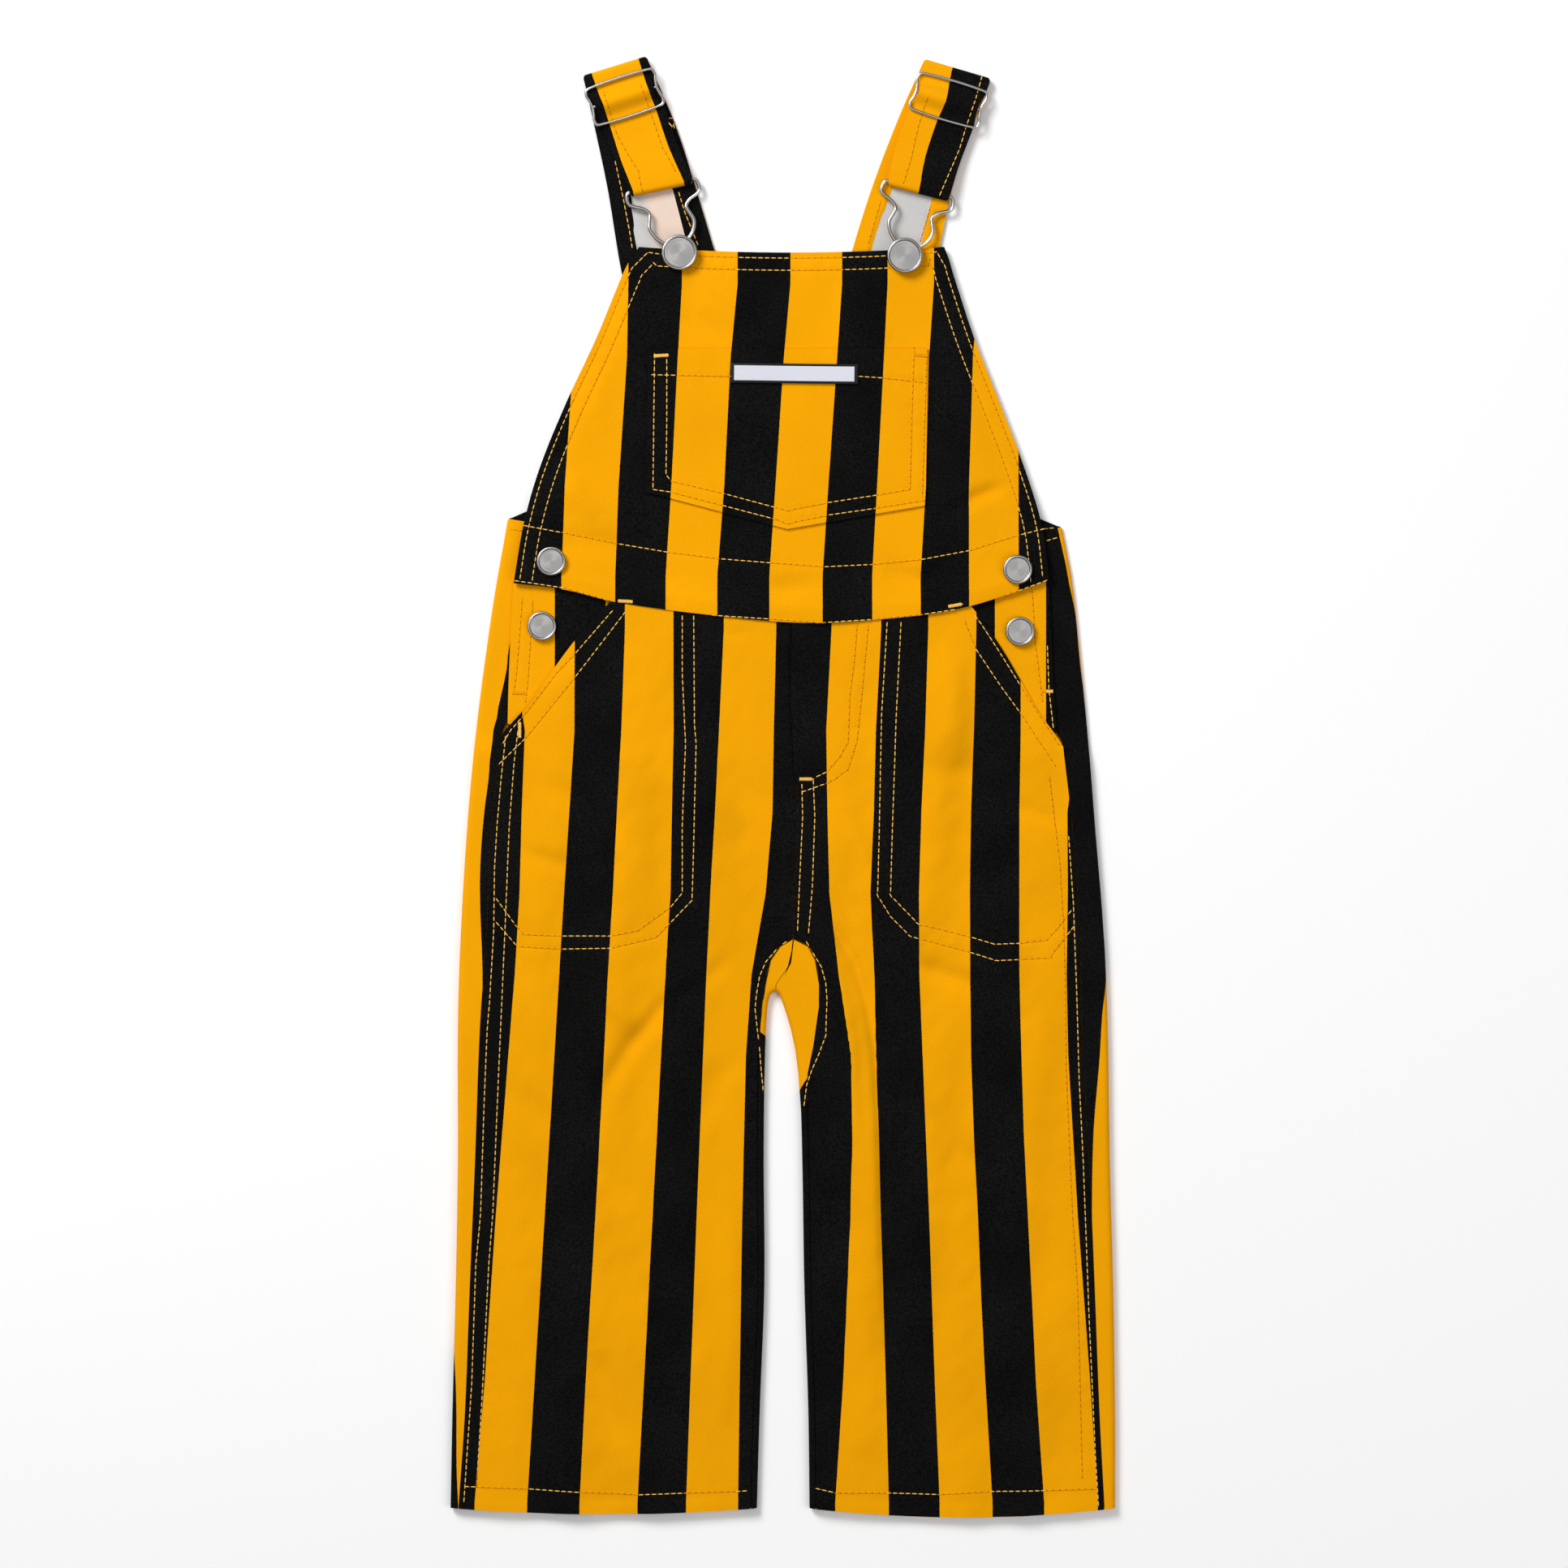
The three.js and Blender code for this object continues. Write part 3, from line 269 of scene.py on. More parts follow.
LEG_LINES = {
    "left": {
        "mouth": [(756, 752), (709, 806), (687, 829), (650, 877), (630, 900), (620, 917)],
        "mouth_second": [(772, 753), (709, 835), (648, 910), (614, 943)],
        "side": [(624, 906), (618, 962), (613, 1019), (610, 1070), (609, 1146), (604, 1233), (601, 1268),
                 (597, 1364), (593, 1494), (587, 1557), (582, 1704), (572, 1854)],
        "side_second": [(639, 900), (634, 942), (628, 1019), (625, 1095), (619, 1233), (614, 1346),
                        (608, 1494), (603, 1557), (594, 1733), (588, 1830)],
        "bag": [(841, 758), (841, 830), (845, 916), (841, 1019), (841, 1100), (827, 1117), (787, 1146),
                (753, 1153), (693, 1153), (647, 1151), (636, 1140), (612, 1107)],
        "bag_second": [(855, 758), (856, 893), (858, 916), (855, 1044), (853, 1109), (826, 1137),
                       (808, 1155), (753, 1168), (693, 1169), (638, 1166), (612, 1136)],
        "arch": [(970, 1159), (958, 1168), (943.5, 1185), (936, 1202.5), (932, 1226), (930.5, 1243),
                 (933, 1266), (936, 1292), (938, 1318), (940.6, 1347)],
        "hem": [(572, 1830), (651, 1833), (713, 1837), (788, 1840), (847, 1838), (911, 1836), (924, 1835)],
    },
    "right": {
        "mouth": [(1200, 758), (1209, 770), (1228, 799), (1260, 850), (1285, 889), (1306, 921)],
        "mouth_second": [(1187, 762), (1202, 800), (1232, 845), (1259, 882), (1284, 920), (1300, 944)],
        "side": [(1316, 1029), (1322, 1114), (1326, 1221), (1329, 1328), (1334, 1430), (1338, 1532),
                 (1341, 1616), (1349, 1792), (1353, 1857)],
        "side_second": [(1292, 954), (1305, 1061), (1310, 1141), (1312, 1221), (1313, 1318), (1321, 1499),
                        (1327, 1587), (1333, 1821)],
        "bag": [(1110, 766), (1104, 881), (1099, 1032), (1097, 1103), (1131, 1138), (1195, 1154),
                (1225, 1163), (1255, 1162), (1289, 1158), (1302, 1144), (1322, 1118)],
        "bag_second": [(1093, 766), (1086, 881), (1083, 1032), (1081, 1103), (1097, 1129), (1121, 1153),
                       (1131, 1156), (1195, 1173), (1227, 1183), (1255, 1182), (1292, 1180), (1322, 1142)],
        "fly_inner": [(1056, 769), (1053, 810), (1047, 858), (1045, 914), (1035, 932), (1019, 951),
                      (1002, 959)],
        "fly_outer": [(1070, 769), (1066, 810), (1061, 863), (1056, 912), (1045, 947), (1030, 959),
                      (1019, 965), (988, 976)],
        "centre": [(988, 965), (989, 1006), (985, 1093), (982.5, 1150)],
        "centre_second": [(1002, 960), (1004, 1006), (1001, 1092), (996, 1152)],
        "arch": [(993, 1159), (1001.5, 1173.5), (1012, 1191), (1017.5, 1211), (1019, 1231.5), (1018, 1255),
                 (1017.5, 1275), (1009, 1298), (1000, 1318.5), (994, 1336), (991, 1359)],
        "hem": [(1004, 1832), (1030, 1838), (1096, 1838), (1157, 1840), (1221, 1836), (1286, 1835),
                (1352, 1833)],
    },
}
FACING_LINES = {
    "left": [[(644, 736), (641, 780), (637, 830), (634, 852)],
             [(657, 738), (654, 790), (651, 840), (648, 866)], [(628, 652), (641, 654)]],
    "right": [[(1271, 722), (1275, 790), (1284.5, 867)], [(1290, 795), (1292, 850), (1297.8, 901)],
              [(1288, 667), (1305, 662)], [(1284, 652), (1306, 650)]],
}
# Creases of the cloth: points in photo steps, half width in millimetres, and height in CREASE_DEPTH.
CREASE_DEPTH = 5.5
CREASES = {
    "left": [
        ([(905, 1175), (862, 1212), (818, 1240), (775, 1290), (745, 1340), (728, 1395)], 4.5, -0.42),
        ([(928, 1290), (880, 1335), (845, 1400), (830, 1470)], 6, -0.3),
        ([(612, 1020), (650, 1052), (705, 1068), (760, 1064)], 4, -0.28),
        ([(600, 1330), (690, 1385), (765, 1480)], 7, -0.35),
        ([(700, 1150), (745, 1230), (800, 1275)], 6, 0.35),
        ([(735, 1660), (745, 1725), (770, 1780)], 7, -0.35),
        ([(868, 1600), (850, 1660), (800, 1690)], 6, -0.3),
        ([(640, 1560), (650, 1660), (640, 1770)], 9, 0.4),
        ([(884, 776), (906, 781), (940, 776)], 2.5, -0.3),
        ([(800, 940), (870, 990), (935, 1010)], 8, 0.3),
        ([(655, 960), (720, 985), (760, 1030)], 6, -0.25),
        ([(900, 1480), (905, 1620), (890, 1760)], 6, 0.4),
    ],
    "right": [
        ([(1003, 1118), (1032, 1150), (1052, 1184), (1069, 1238), (1079, 1294), (1086, 1404), (1090, 1542),
          (1098, 1662)], 2.6, -0.6),
        ([(1000, 1040), (1008, 1110), (1030, 1190), (1048, 1280), (1054, 1400)], 3.6, 0.5),
        ([(1082, 1150), (1130, 1190), (1200, 1212), (1272, 1268)], 5, -0.35),
        ([(1185, 1110), (1240, 1180), (1300, 1310)], 7, 0.35),
        ([(1236, 985), (1280, 1004), (1325, 1012)], 4, -0.3),
        ([(1130, 945), (1190, 950), (1256, 905)], 7, -0.35),
        ([(1040, 1000), (1066, 1060), (1078, 1120)], 5, 0.35),
        ([(1118, 1340), (1180, 1420), (1262, 1460)], 7, -0.3),
        ([(1110, 1640), (1150, 1730), (1160, 1800)], 7, -0.35),
        ([(1230, 1560), (1270, 1640), (1290, 1760)], 9, 0.4),
        ([(1018, 1050), (1024, 1080), (1050, 1130)], 2.5, -0.3),
        ([(1160, 790), (1180, 860), (1175, 930)], 7, 0.3),
        ([(1060, 1600), (1075, 1700), (1060, 1800)], 7, 0.4),
    ],
    "bib": [
        ([(1160, 640), (1205, 612), (1248, 596)], 3.5, -0.4),
        ([(1228, 556), (1246, 582), (1266, 600)], 3, -0.35),
        ([(900, 706), (955, 728), (1012, 720)], 5, -0.3),
        ([(690, 664), (770, 676), (832, 730)], 6, -0.3),
        ([(1088, 700), (1130, 716), (1170, 700)], 5, -0.35),
        ([(650, 560), (700, 600), (740, 640)], 6, 0.35),
        ([(705, 350), (720, 450), (740, 520)], 6, 0.3),
        ([(1180, 400), (1190, 500), (1215, 560)], 7, 0.35),
        ([(840, 340), (855, 390), (900, 420)], 6, -0.25),
        ([(1040, 345), (1050, 400), (1100, 420)], 6, 0.25),
    ],
}

STRAP_LINES = [
    [(743, 112), (760, 166), (773, 190), (786, 211), (791, 233)],
    [(788, 102), (797, 126), (808, 158), (816, 182), (825, 198), (833, 214)],
    [(758, 198), (768, 244), (776, 286), (780, 311)], [(836, 236), (844, 262), (860, 302)],
    [(1143, 120), (1131, 158), (1122, 198), (1113, 227)],
    [(1210, 94), (1202, 123), (1190, 158), (1182, 185), (1158, 241)],
    [(1086, 246), (1071, 297)], [(1147.5, 251.6), (1134, 297)],
    [(822, 147), (827, 146), (829, 151)], [(824, 152), (831, 161)], [(826, 161), (830, 153), (831, 158)],
]
# Bar tacks: both ends in photo steps.
BAR_TACKS = {
    "pockets": [((806, 440), (824, 439)), ((1125, 438), (1143, 440))],
    "waist": [((762, 741), (780, 742)), ((1168, 748), (1185, 745))],
    "facings": [((632, 854), (647, 854)), ((1283, 852), (1297, 852)), ((641, 890), (641, 909))],
    "legs": [((985, 960), (1001, 960))],
}

# Stage, in metres: place and size of each lamp, and its share of the key light's power.
LAMPS = {
    "key_light": ((-1.2, 1.4, 1.6), 1.0, 1.0),
    "fill_light": ((1.3, -0.6, 1.6), 1.2, 0.2),
    "top_light": ((0.1, 0.1, 3.1), 3.2, 0.46),
}
FLOOR_REACH, FLOOR_DROP = 4, 0.0002
# The photograph is this many steps wide, taken from straight above this place.
PHOTO_WIDTH, SENSOR = 1932, 36
CAMERA_PLACE = (0.00057, 0.00113)


def read(keys, values, at):
    """A smooth reading of one column of a table whose keys rise or fall steadily."""
    k, v = np.asarray(keys, float), np.asarray(values, float)
    if k[0] > k[-1]:
        k, v = k[::-1], v[::-1]
    slope = np.gradient(v, k) if len(k) > 2 else np.full(2, (v[1] - v[0]) / (k[1] - k[0]))
    slope[1:-1] = (v[2:] - v[:-2]) / (k[2:] - k[:-2])
    at = np.asarray(at, float)
    i = np.clip(np.searchsorted(k, at, side="right") - 1, 0, len(k) - 2)
    span = k[i + 1] - k[i]
    t = np.clip((at - k[i]) / span, 0, 1)
    return ((2 * t**3 - 3 * t**2 + 1) * v[i] + (t**3 - 2 * t**2 + t) * span * slope[i]
            + (3 * t**2 - 2 * t**3) * v[i + 1] + (t**3 - t**2) * span * slope[i + 1])


def row_read(rows, t):
    """The same by row number, for rows that follow a path; t runs from 0 to 1."""
    rows = np.asarray(rows, float)
    index = np.arange(len(rows))
    return np.stack([read(index, column, t * (len(rows) - 1)) for column in rows.T], axis=-1)


def ease(at, low, high):
    t = np.clip((np.asarray(at, float) - low) / (high - low), 0, 1)
    return t * t * (3 - 2 * t)


def lerp(a, b, t):
    return a + (b - a) * t


def to_mm(points):
    """Photo steps to millimetres from the middle of the garment."""
    p = np.asarray(points, float)
    return np.stack([(p[..., 0] - PHOTO_MIDDLE[0]) * STEP, (PHOTO_MIDDLE[1] - p[..., 1]) * STEP], axis=-1)


def to_steps(x, y):
    return x / STEP + PHOTO_MIDDLE[0], PHOTO_MIDDLE[1] - y / STEP


def waist_y(x):
    return read(WAIST_SEAM["x"], WAIST_SEAM["y"], x)


def stripes_at(table, x, y):
    """Stripe count at each point: even numbers start a yellow stripe and odd ones a black one."""
    px, py = to_steps(x, y)
    count = min(len(row) for row in table.values())
    heights = sorted(table)
    edges = [np.interp(py, heights, [table[h][i] for h in heights]) for i in range(count)]
    s = (px - edges[0]) / STRIPE
    for i in range(count - 1):
        inside = (px >= edges[i]) & (px < edges[i + 1])
        s = np.where(inside, i + (px - edges[i]) / (edges[i + 1] - edges[i]), s)
    return np.where(px >= edges[-1], count - 1 + (px - edges[-1]) / STRIPE, s)


def ripple(x, y, length, seed):
    """Smooth uneven waves of about this length, from -1 to 1."""
    rng = np.random.default_rng(seed)
    total = np.zeros_like(x)
    for _ in range(7):
        angle, phase = rng.uniform(0, 2 * math.pi, 2)
        wave = 2 * math.pi / (length * rng.uniform(0.7, 1.5))
        total += np.sin(wave * (x * math.cos(angle) + y * math.sin(angle)) + phase)
    return total / 4


def near_line(x, y, line):
    """Distance of each point to a line, and the length along it of the nearest place."""
    best = np.full(x.shape, 1e9)
    at = np.zeros_like(x)
    length = 0.0
    for (ax, ay), (bx, by) in zip(line[:-1], line[1:]):
        dx, dy = bx - ax, by - ay
        size = math.hypot(dx, dy)
        t = np.clip(((x - ax) * dx + (y - ay) * dy) / (size * size), 0, 1)
        d = np.hypot(x - ax - t * dx, y - ay - t * dy)
        closer = d < best
        best = np.where(closer, d, best)
        at = np.where(closer, length + t * size, at)
        length += size
    return best, at


def sewn(x, y, lines, depth, pucker, seed):
    """Height change near sewn lines: a groove under the thread, and small uneven puckers beside it."""
    change = np.zeros_like(x)
    for number, line in enumerate(lines):
        d, at = near_line(x, y, line)
        change -= depth * np.exp(-(d / 0.75) ** 2)
        along = np.sin(at / 1.35 + 2.2 * np.sin(at / 11 + number)) * (0.55 + 0.45 * np.sin(at / 17 + seed))
        change += pucker * along * np.exp(-((d - 1.9) / 1.9) ** 2)
    return change


def creased(x, y, part):
    """Height change from the creases of one part."""
    change = np.zeros_like(x)
    for line, width, height in CREASES[part]:
        d, at = near_line(x, y, to_mm(line))
        _, last = near_line(*to_mm(line)[-1:].T, to_mm(line))
        ends = np.sin(math.pi * np.clip(at / last, 0.02, 0.98)) ** 0.5
        change += CREASE_DEPTH * height * ends * np.exp(-(d / width) ** 2)
    return change


def leg_lines(side):
    return [to_mm(line) for line in LEG_LINES[side].values()]


def inset(line, distance):
    """A line moved square to itself, to the right of its direction."""
    line = np.asarray(line, float)
    forward = np.gradient(line, axis=0)
    forward /= np.linalg.norm(forward, axis=1, keepdims=True)
    return line + distance * np.stack([forward[:, 1], -forward[:, 0]], axis=1)


def bib_edge():
    """The free edge of the bib, up its left side, over the top and down its right side."""
    rise = np.linspace(99, 250, 40)
    left = np.stack([read(BIB_SIDES["y"], BIB_SIDES["left"], rise), rise], axis=1)
    right = np.stack([read(BIB_SIDES["y"], BIB_SIDES["right"], rise), rise], axis=1)[::-1]
    across = np.linspace(-66, 75.5, 24)
    top = np.stack([across, BIB_MIDDLE + (BIB_CORNER - BIB_MIDDLE) * ((across - 4) / BIB_HALF) ** 2], axis=1)
    return np.concatenate([left, top, right])


def edge_seams():
    return [inset(bib_edge(), distance) for distance in EDGE_SEAMS]


# Columns of the back panels: across the floor, forward at the inseam, and outside their lining.
BACK_STEPS, FORWARD_COLUMNS, LINING_MARGIN = 46, 17, 19


# Cloth surfaces: each returns rows of points on the outer face and on the inner one.
def turned_end(fold, turn, end, layer, rise, lead_x, top_steps=5, arc_steps=9):
    count = top_steps + arc_steps
    t = np.linspace(0, 1, count + 1)
    if layer <= -1:
        x, y = lerp(end[0], lead_x, t), lerp(end[1], fold[1], t)
        return np.stack([x, y, 0 * t], axis=1), np.stack([x, y, 0 * t + CLOTH], axis=1)
    nx, ny = math.cos(math.radians(turn)), math.sin(math.radians(turn))
    cx, cy = fold[0] - nx * FOLD_REACH, fold[1] - ny * FOLD_REACH

    def arc(theta):
        c, s = np.cos(theta), np.sin(theta)
        far, near = FOLD_REACH * c, (FOLD_REACH - CLOTH) * c
        return (np.stack([cx + nx * far, cy + ny * far, rise / 2 * (1 + s)], axis=1),
                np.stack([cx + nx * near, cy + ny * near, rise / 2 + (rise / 2 - CLOTH) * s], axis=1))

    quarter = math.pi / 2
    if layer < 1:
        return arc(lerp(layer * quarter, -quarter, t))
    s = np.arange(top_steps) / top_steps
    x, y = lerp(end[0], cx, s), lerp(end[1], cy, s)
    top = np.stack([x, y, 0 * s + rise], axis=1), np.stack([x, y, 0 * s + rise - CLOTH], axis=1)
    bend = arc(np.linspace(quarter, -quarter, arc_steps + 1))
    return np.concatenate([top[0], bend[0]]), np.concatenate([top[1], bend[1]])


def back_section(first, last, steps):
    start, finish = turned_end(**first), turned_end(**last)
    a, b = start[0][-1], finish[0][-1]
    t = np.linspace(0, 1, steps + 1)[1:-1, None]
    floor = lerp(a[None, :2], b[None, :2], t)
    flat = np.zeros((len(t), 1))
    return np.stack([
        np.concatenate([start[0], np.hstack([floor, flat]), finish[0][::-1]]),
        np.concatenate([start[1], np.hstack([floor, flat + CLOTH]), finish[1][::-1]]),
    ])


def refined(sections, reach):
    """Rows no further apart than this, straight from one section to the next."""
    rows = [sections[0]]
    for a, b in zip(sections[:-1], sections[1:]):
        count = max(1, math.ceil(np.abs(b - a).max() / reach))
        rows += [lerp(a, b, (i + 1) / count) for i in range(count)]
    grid = np.stack(rows)
    return grid[:, 0], grid[:, 1]


def hemmed(points, side):
    """The hems droop a little between the folds of each leg."""
    middle = -85 if side == "left" else 86
    reach = np.clip((-300 - points[..., 1]) / (-300 - HEM_Y), 0, 1)
    across = np.clip((points[..., 0] - middle) / 75, -1, 1)
    points[..., 1] -= HEM_SAG[side] * (1 - across**2) * reach
    return points


def back_leg(side, pitch):
    sign = -1 if side == "left" else 1
    low = HIP_END[side]

    def outer_end(y):
        tucked = float(ease(y, low, low + 12))
        seam = float(read(SIDE_SEAMS["y"], SIDE_SEAMS[side], y)) + sign * (GAP / 2) * (1 - tucked)
        return {
            "fold": (float(read(OUTER_FOLDS["y"], OUTER_FOLDS[side], y)), y),
            "turn": 180 if side == "left" else 0, "end": (seam - sign * (TUCK - 1.5) * tucked, y),
            "layer": 1, "rise": lerp(LEG_TOP, WRAP_TOP, float(ease(y, low - 10, low + 3))), "lead_x": 0,
        }

    sections = []
    for y in np.linspace(99.98, -60, 60):
        x = sign * GAP / 2
        inner = {"fold": (x, y), "turn": 0, "end": (x, y), "layer": -1, "rise": 0, "lead_x": x + sign * 12}
        sections.append(back_section(outer_end(y), inner, BACK_STEPS))
    for at, fold_x, fold_y, turn, end_x, end_y, layer in CROTCH[side]:
        inner = {"fold": (fold_x, fold_y), "turn": turn, "end": (end_x, end_y), "layer": layer,
                 "rise": LEG_TOP, "lead_x": fold_x + sign * 9}
        sections.append(back_section(outer_end(at), inner, BACK_STEPS))
    for y in np.linspace(-132 if side == "left" else -155, HEM_Y, 80):
        fold = float(read(INNER_FOLDS["y"], INNER_FOLDS[side], y))
        inner = {"fold": (fold, y), "turn": 0 if side == "left" else 180,
                 "end": (fold + sign * (FOLD_REACH + 0.4), y), "layer": 1, "rise": LEG_TOP, "lead_x": 0}
        sections.append(back_section(outer_end(y), inner, BACK_STEPS))
    outer, inner = refined(sections, pitch * 1.6)
    return hemmed(outer, side), hemmed(inner, side)


def back_stripes(side, outer):
    """Stripes counted from the side seam round to the inseam, where the cloth is yellow."""
    steps = np.linalg.norm(np.diff(outer[..., :2], axis=1), axis=2)
    at = np.concatenate([np.zeros((len(outer), 1)), np.cumsum(steps, axis=1)], axis=1)
    table = BACK_STRIPES[side]
    start = read(table["y"], table["s"], PHOTO_MIDDLE[1] - outer[:, 0, 1] / STEP)[:, None]
    above, below = CROTCH_YELLOW[side]
    ramp = np.clip((above - outer[:, -1:, 1]) / (above - below), 0, 1)
    end = INSEAM_COUNT + INSEAM_GAIN * ramp
    near = np.minimum(at, SIDE_WRAP) / BACK_STRIPE
    across = np.clip((at - SIDE_WRAP) / (at[:, -1:] - SIDE_WRAP), 0, 1)
    s = start + near + (end - start - SIDE_WRAP / BACK_STRIPE) * across
    forward = np.arange(outer.shape[1]) > outer.shape[1] - FORWARD_COLUMNS
    return np.where(forward & (ramp < 0.5), np.maximum(s, INSEAM_LEAST), s)


def inner_edge_x(side, y):
    sign = -1 if side == "left" else 1
    seat = read(CENTRE_SEAM["y"], CENTRE_SEAM["x"], y) + sign * GAP / 2
    arch = read(INSEAM_ARCH[side]["y"], INSEAM_ARCH[side]["x"], y)
    shin = read(INNER_FOLDS["y"], INNER_FOLDS[side], y) + sign * (FOLD_REACH + 0.7)
    end = INSEAM_ARCH[side]["y"][-1]
    return np.where(y > CROTCH_Y, seat, np.where(y > end, arch, shin))


def outer_edge_x(side, y):
    sign = -1 if side == "left" else 1
    mouth = read(POCKET_MOUTHS["y"], POCKET_MOUTHS[side], y)
    seam = read(SIDE_SEAMS["y"], SIDE_SEAMS[side], y) - sign * GAP / 2
    return np.where(y >= HIP_END[side], mouth, seam)


def front_leg(side, pitch):
    arch = np.arange(CROTCH_Y + 0.75, -100, -0.75)
    levels = np.concatenate([
        np.linspace(90, CROTCH_Y + 1.5, int(160 / pitch)), arch,
        np.linspace(-100.8, HEM_Y, int(246 / pitch)),
    ])
    u = np.linspace(0, 1, int(146 / pitch))
    x = lerp(outer_edge_x(side, levels)[:, None], inner_edge_x(side, levels)[:, None], u[None, :])
    level = np.broadcast_to(levels[:, None], x.shape)
    y = level + (waist_y(x) + TUCK - 90) * ease(level, 30, 90)
    phase = 1.3 if side == "left" else 0
    ends = ease(y, HEM_Y, HEM_Y + 40) * (1 - ease(level, 40, 85))
    crown = 1.1 * np.sin(math.pi * u)[None, :] * (0.65 + 0.35 * np.sin(level / 31 + 2.2 * u[None, :] + phase))
    z = lerp(LEG_TOP, HIP_TOP, ease(level, -8, 17)) + crown * ends
    border = np.sin(math.pi * u)[None, :] ** 0.5 * np.ones_like(x)
    free = border * (1 - ease(level, 60, 88))
    z = z + 1.1 * ripple(x * 1.5, y * 0.55, 42, 3 if side == "left" else 8) * free
    z = z + 0.16 * ripple(x * 1.3, y, 15, 5 if side == "left" else 9) * free
    z = z + creased(x, y, side) * free
    # The fly: the right leg laps over the left one, down to its bar tack.
    lap = ease(level, -2, 8) * np.exp(-np.abs(x - inner_edge_x(side, level)) / (1.8 if side == "left" else 4))
    z = z + lap * (-1.4 if side == "left" else 0.5)
    if side == "right":
        x = x - lap
    z = z + sewn(x, y, leg_lines(side), 0.22, 0.13, 2 if side == "left" else 4)
    # The folded hem is thicker, and ends in a soft step.
    z = z + 0.22 * (1 - ease(y + HEM_SAG[side] * 0.8, HEM_Y + 6.5, HEM_Y + 8))
    outer = np.stack([x, y, z], axis=2)
    inner = np.stack([x, y, np.minimum(z - CLOTH, lerp(LEG_TOP, HIP_TOP, ease(level, -8, 17)) + 0.6)], axis=2)
    inner[..., 2] = np.minimum(inner[..., 2], outer[..., 2] - 0.8)
    return hemmed(outer, side), hemmed(inner, side)


def hip_facing(side, pitch):
    t = np.linspace(0, 1, int(75 / pitch))
    rows = row_read(FACINGS[side], t)
    u = np.linspace(0, 1, 28)[None, :]
    x = lerp(rows[:, 0:1], rows[:, 2:3], u)
    y = lerp(rows[:, 1:2], rows[:, 3:4], u)
    lines = [to_mm(line) for line in FACING_LINES[side]]
    z = FACING_TOP + 0.08 * ripple(x, y, 20, 12) + sewn(x, y, lines, 0.2, 0.08, 6)
    return np.stack([x, y, z], axis=2), np.stack([x, y, z - CLOTH], axis=2)


def bib_height(x, y):
    """Outer height of the bib: highest on the waist seam, lowest along its free edges."""
    rise = (WAIST_TOP - BIB_TOP) * np.exp(-np.maximum(0, y - waist_y(x) - TUCK - 1) / 9)
    left = read(BIB_SIDES["y"], BIB_SIDES["left"], y)
    right = read(BIB_SIDES["y"], BIB_SIDES["right"], y)
    sides = (1 - ease(np.minimum(x - left, right - x), 0, 14)) * ease(y, 128, 150)
    low = np.maximum(sides, 1 - ease(BIB_CORNER - y, 0, 16))
    wave = 0.35 * np.sin(x / 26 + 0.6) * np.sin((y - 128) / 21) * ease(y, 128, 150)
    return BIB_TOP + rise - 1.3 * low + wave * (1 - low)


def bib_relief(x, y):
    """Waves and creases of the bib, which its pocket and label follow."""
    return 0.14 * ripple(x, y * 0.7, 24, 21) + 0.4 * ripple(x, y * 0.8, 60, 23) + creased(x, y, "bib")


def bib_panel(pitch):
    levels = np.concatenate([np.linspace(97, 244, int(150 / pitch)), np.linspace(245, 258, 16)])
    u = np.linspace(0, 1, int(256 / pitch))[None, :]
    left = read(BIB_SIDES["y"], BIB_SIDES["left"], levels)[:, None]
    right = read(BIB_SIDES["y"], BIB_SIDES["right"], levels)[:, None]
    x = lerp(left, right, u)
    level = np.broadcast_to(levels[:, None], x.shape)
    top = lerp(BIB_MIDDLE, BIB_CORNER, np.minimum(1, ((x - 4) / BIB_HALF) ** 2))
    y = level + (waist_y(x) - 97) * (1 - ease(level, 97, 142)) + (top - 258) * ease(level, 208, 258)
    edge = bib_edge()
    lines = edge_seams() + [to_mm(line) for line in BIB_LINES.values()]
    z = bib_height(x, y) + sewn(x, y, lines, 0.22, 0.12, 1)
    d, _ = near_line(x, y, edge)
    z = z + 0.2 * (1 - ease(d, 8.2, 9.6))
    z = z + 0.15 * (1 - ease(y - waist_y(x), 26, 28.5)) * ease(y - waist_y(x), 4, 8)
    z = z + bib_relief(x, y) * ease(d, 6, 20)
    return np.stack([x, y, z], axis=2), np.stack([x, y, z - CLOTH], axis=2)


def bib_pocket(pitch):
    v = np.linspace(0, 1, int(86 / pitch))[:, None]
    u = np.linspace(0, 1, int(136 / pitch))[None, :]
    left, right, middle = POCKET["left"], POCKET["right"], POCKET["pointX"]
    x = lerp(left - POCKET["leanLeft"] * v, right - POCKET["leanRight"] * v, u)
    half = np.where(x < middle, left, right)
    low = np.where(x < middle, POCKET["lowLeft"], POCKET["lowRight"])
    bottom = lerp(POCKET["point"], low, np.minimum(1, (x - middle) / (half - middle)))
    y = lerp(POCKET["top"], bottom, v)
    lines = [to_mm(line) for line in POCKET_LINES.values()]
    z = bib_height(x, y) + bib_relief(x, y) + LAYER
    z = z + sewn(x, y, lines, 0.22, 0.1, 7) + 0.08 * ripple(x, y, 22, 31)
    z = z + 0.18 * ease(y, 194.5, 196.5)
    return np.stack([x, y, z], axis=2), np.stack([x, y, z - CLOTH], axis=2)


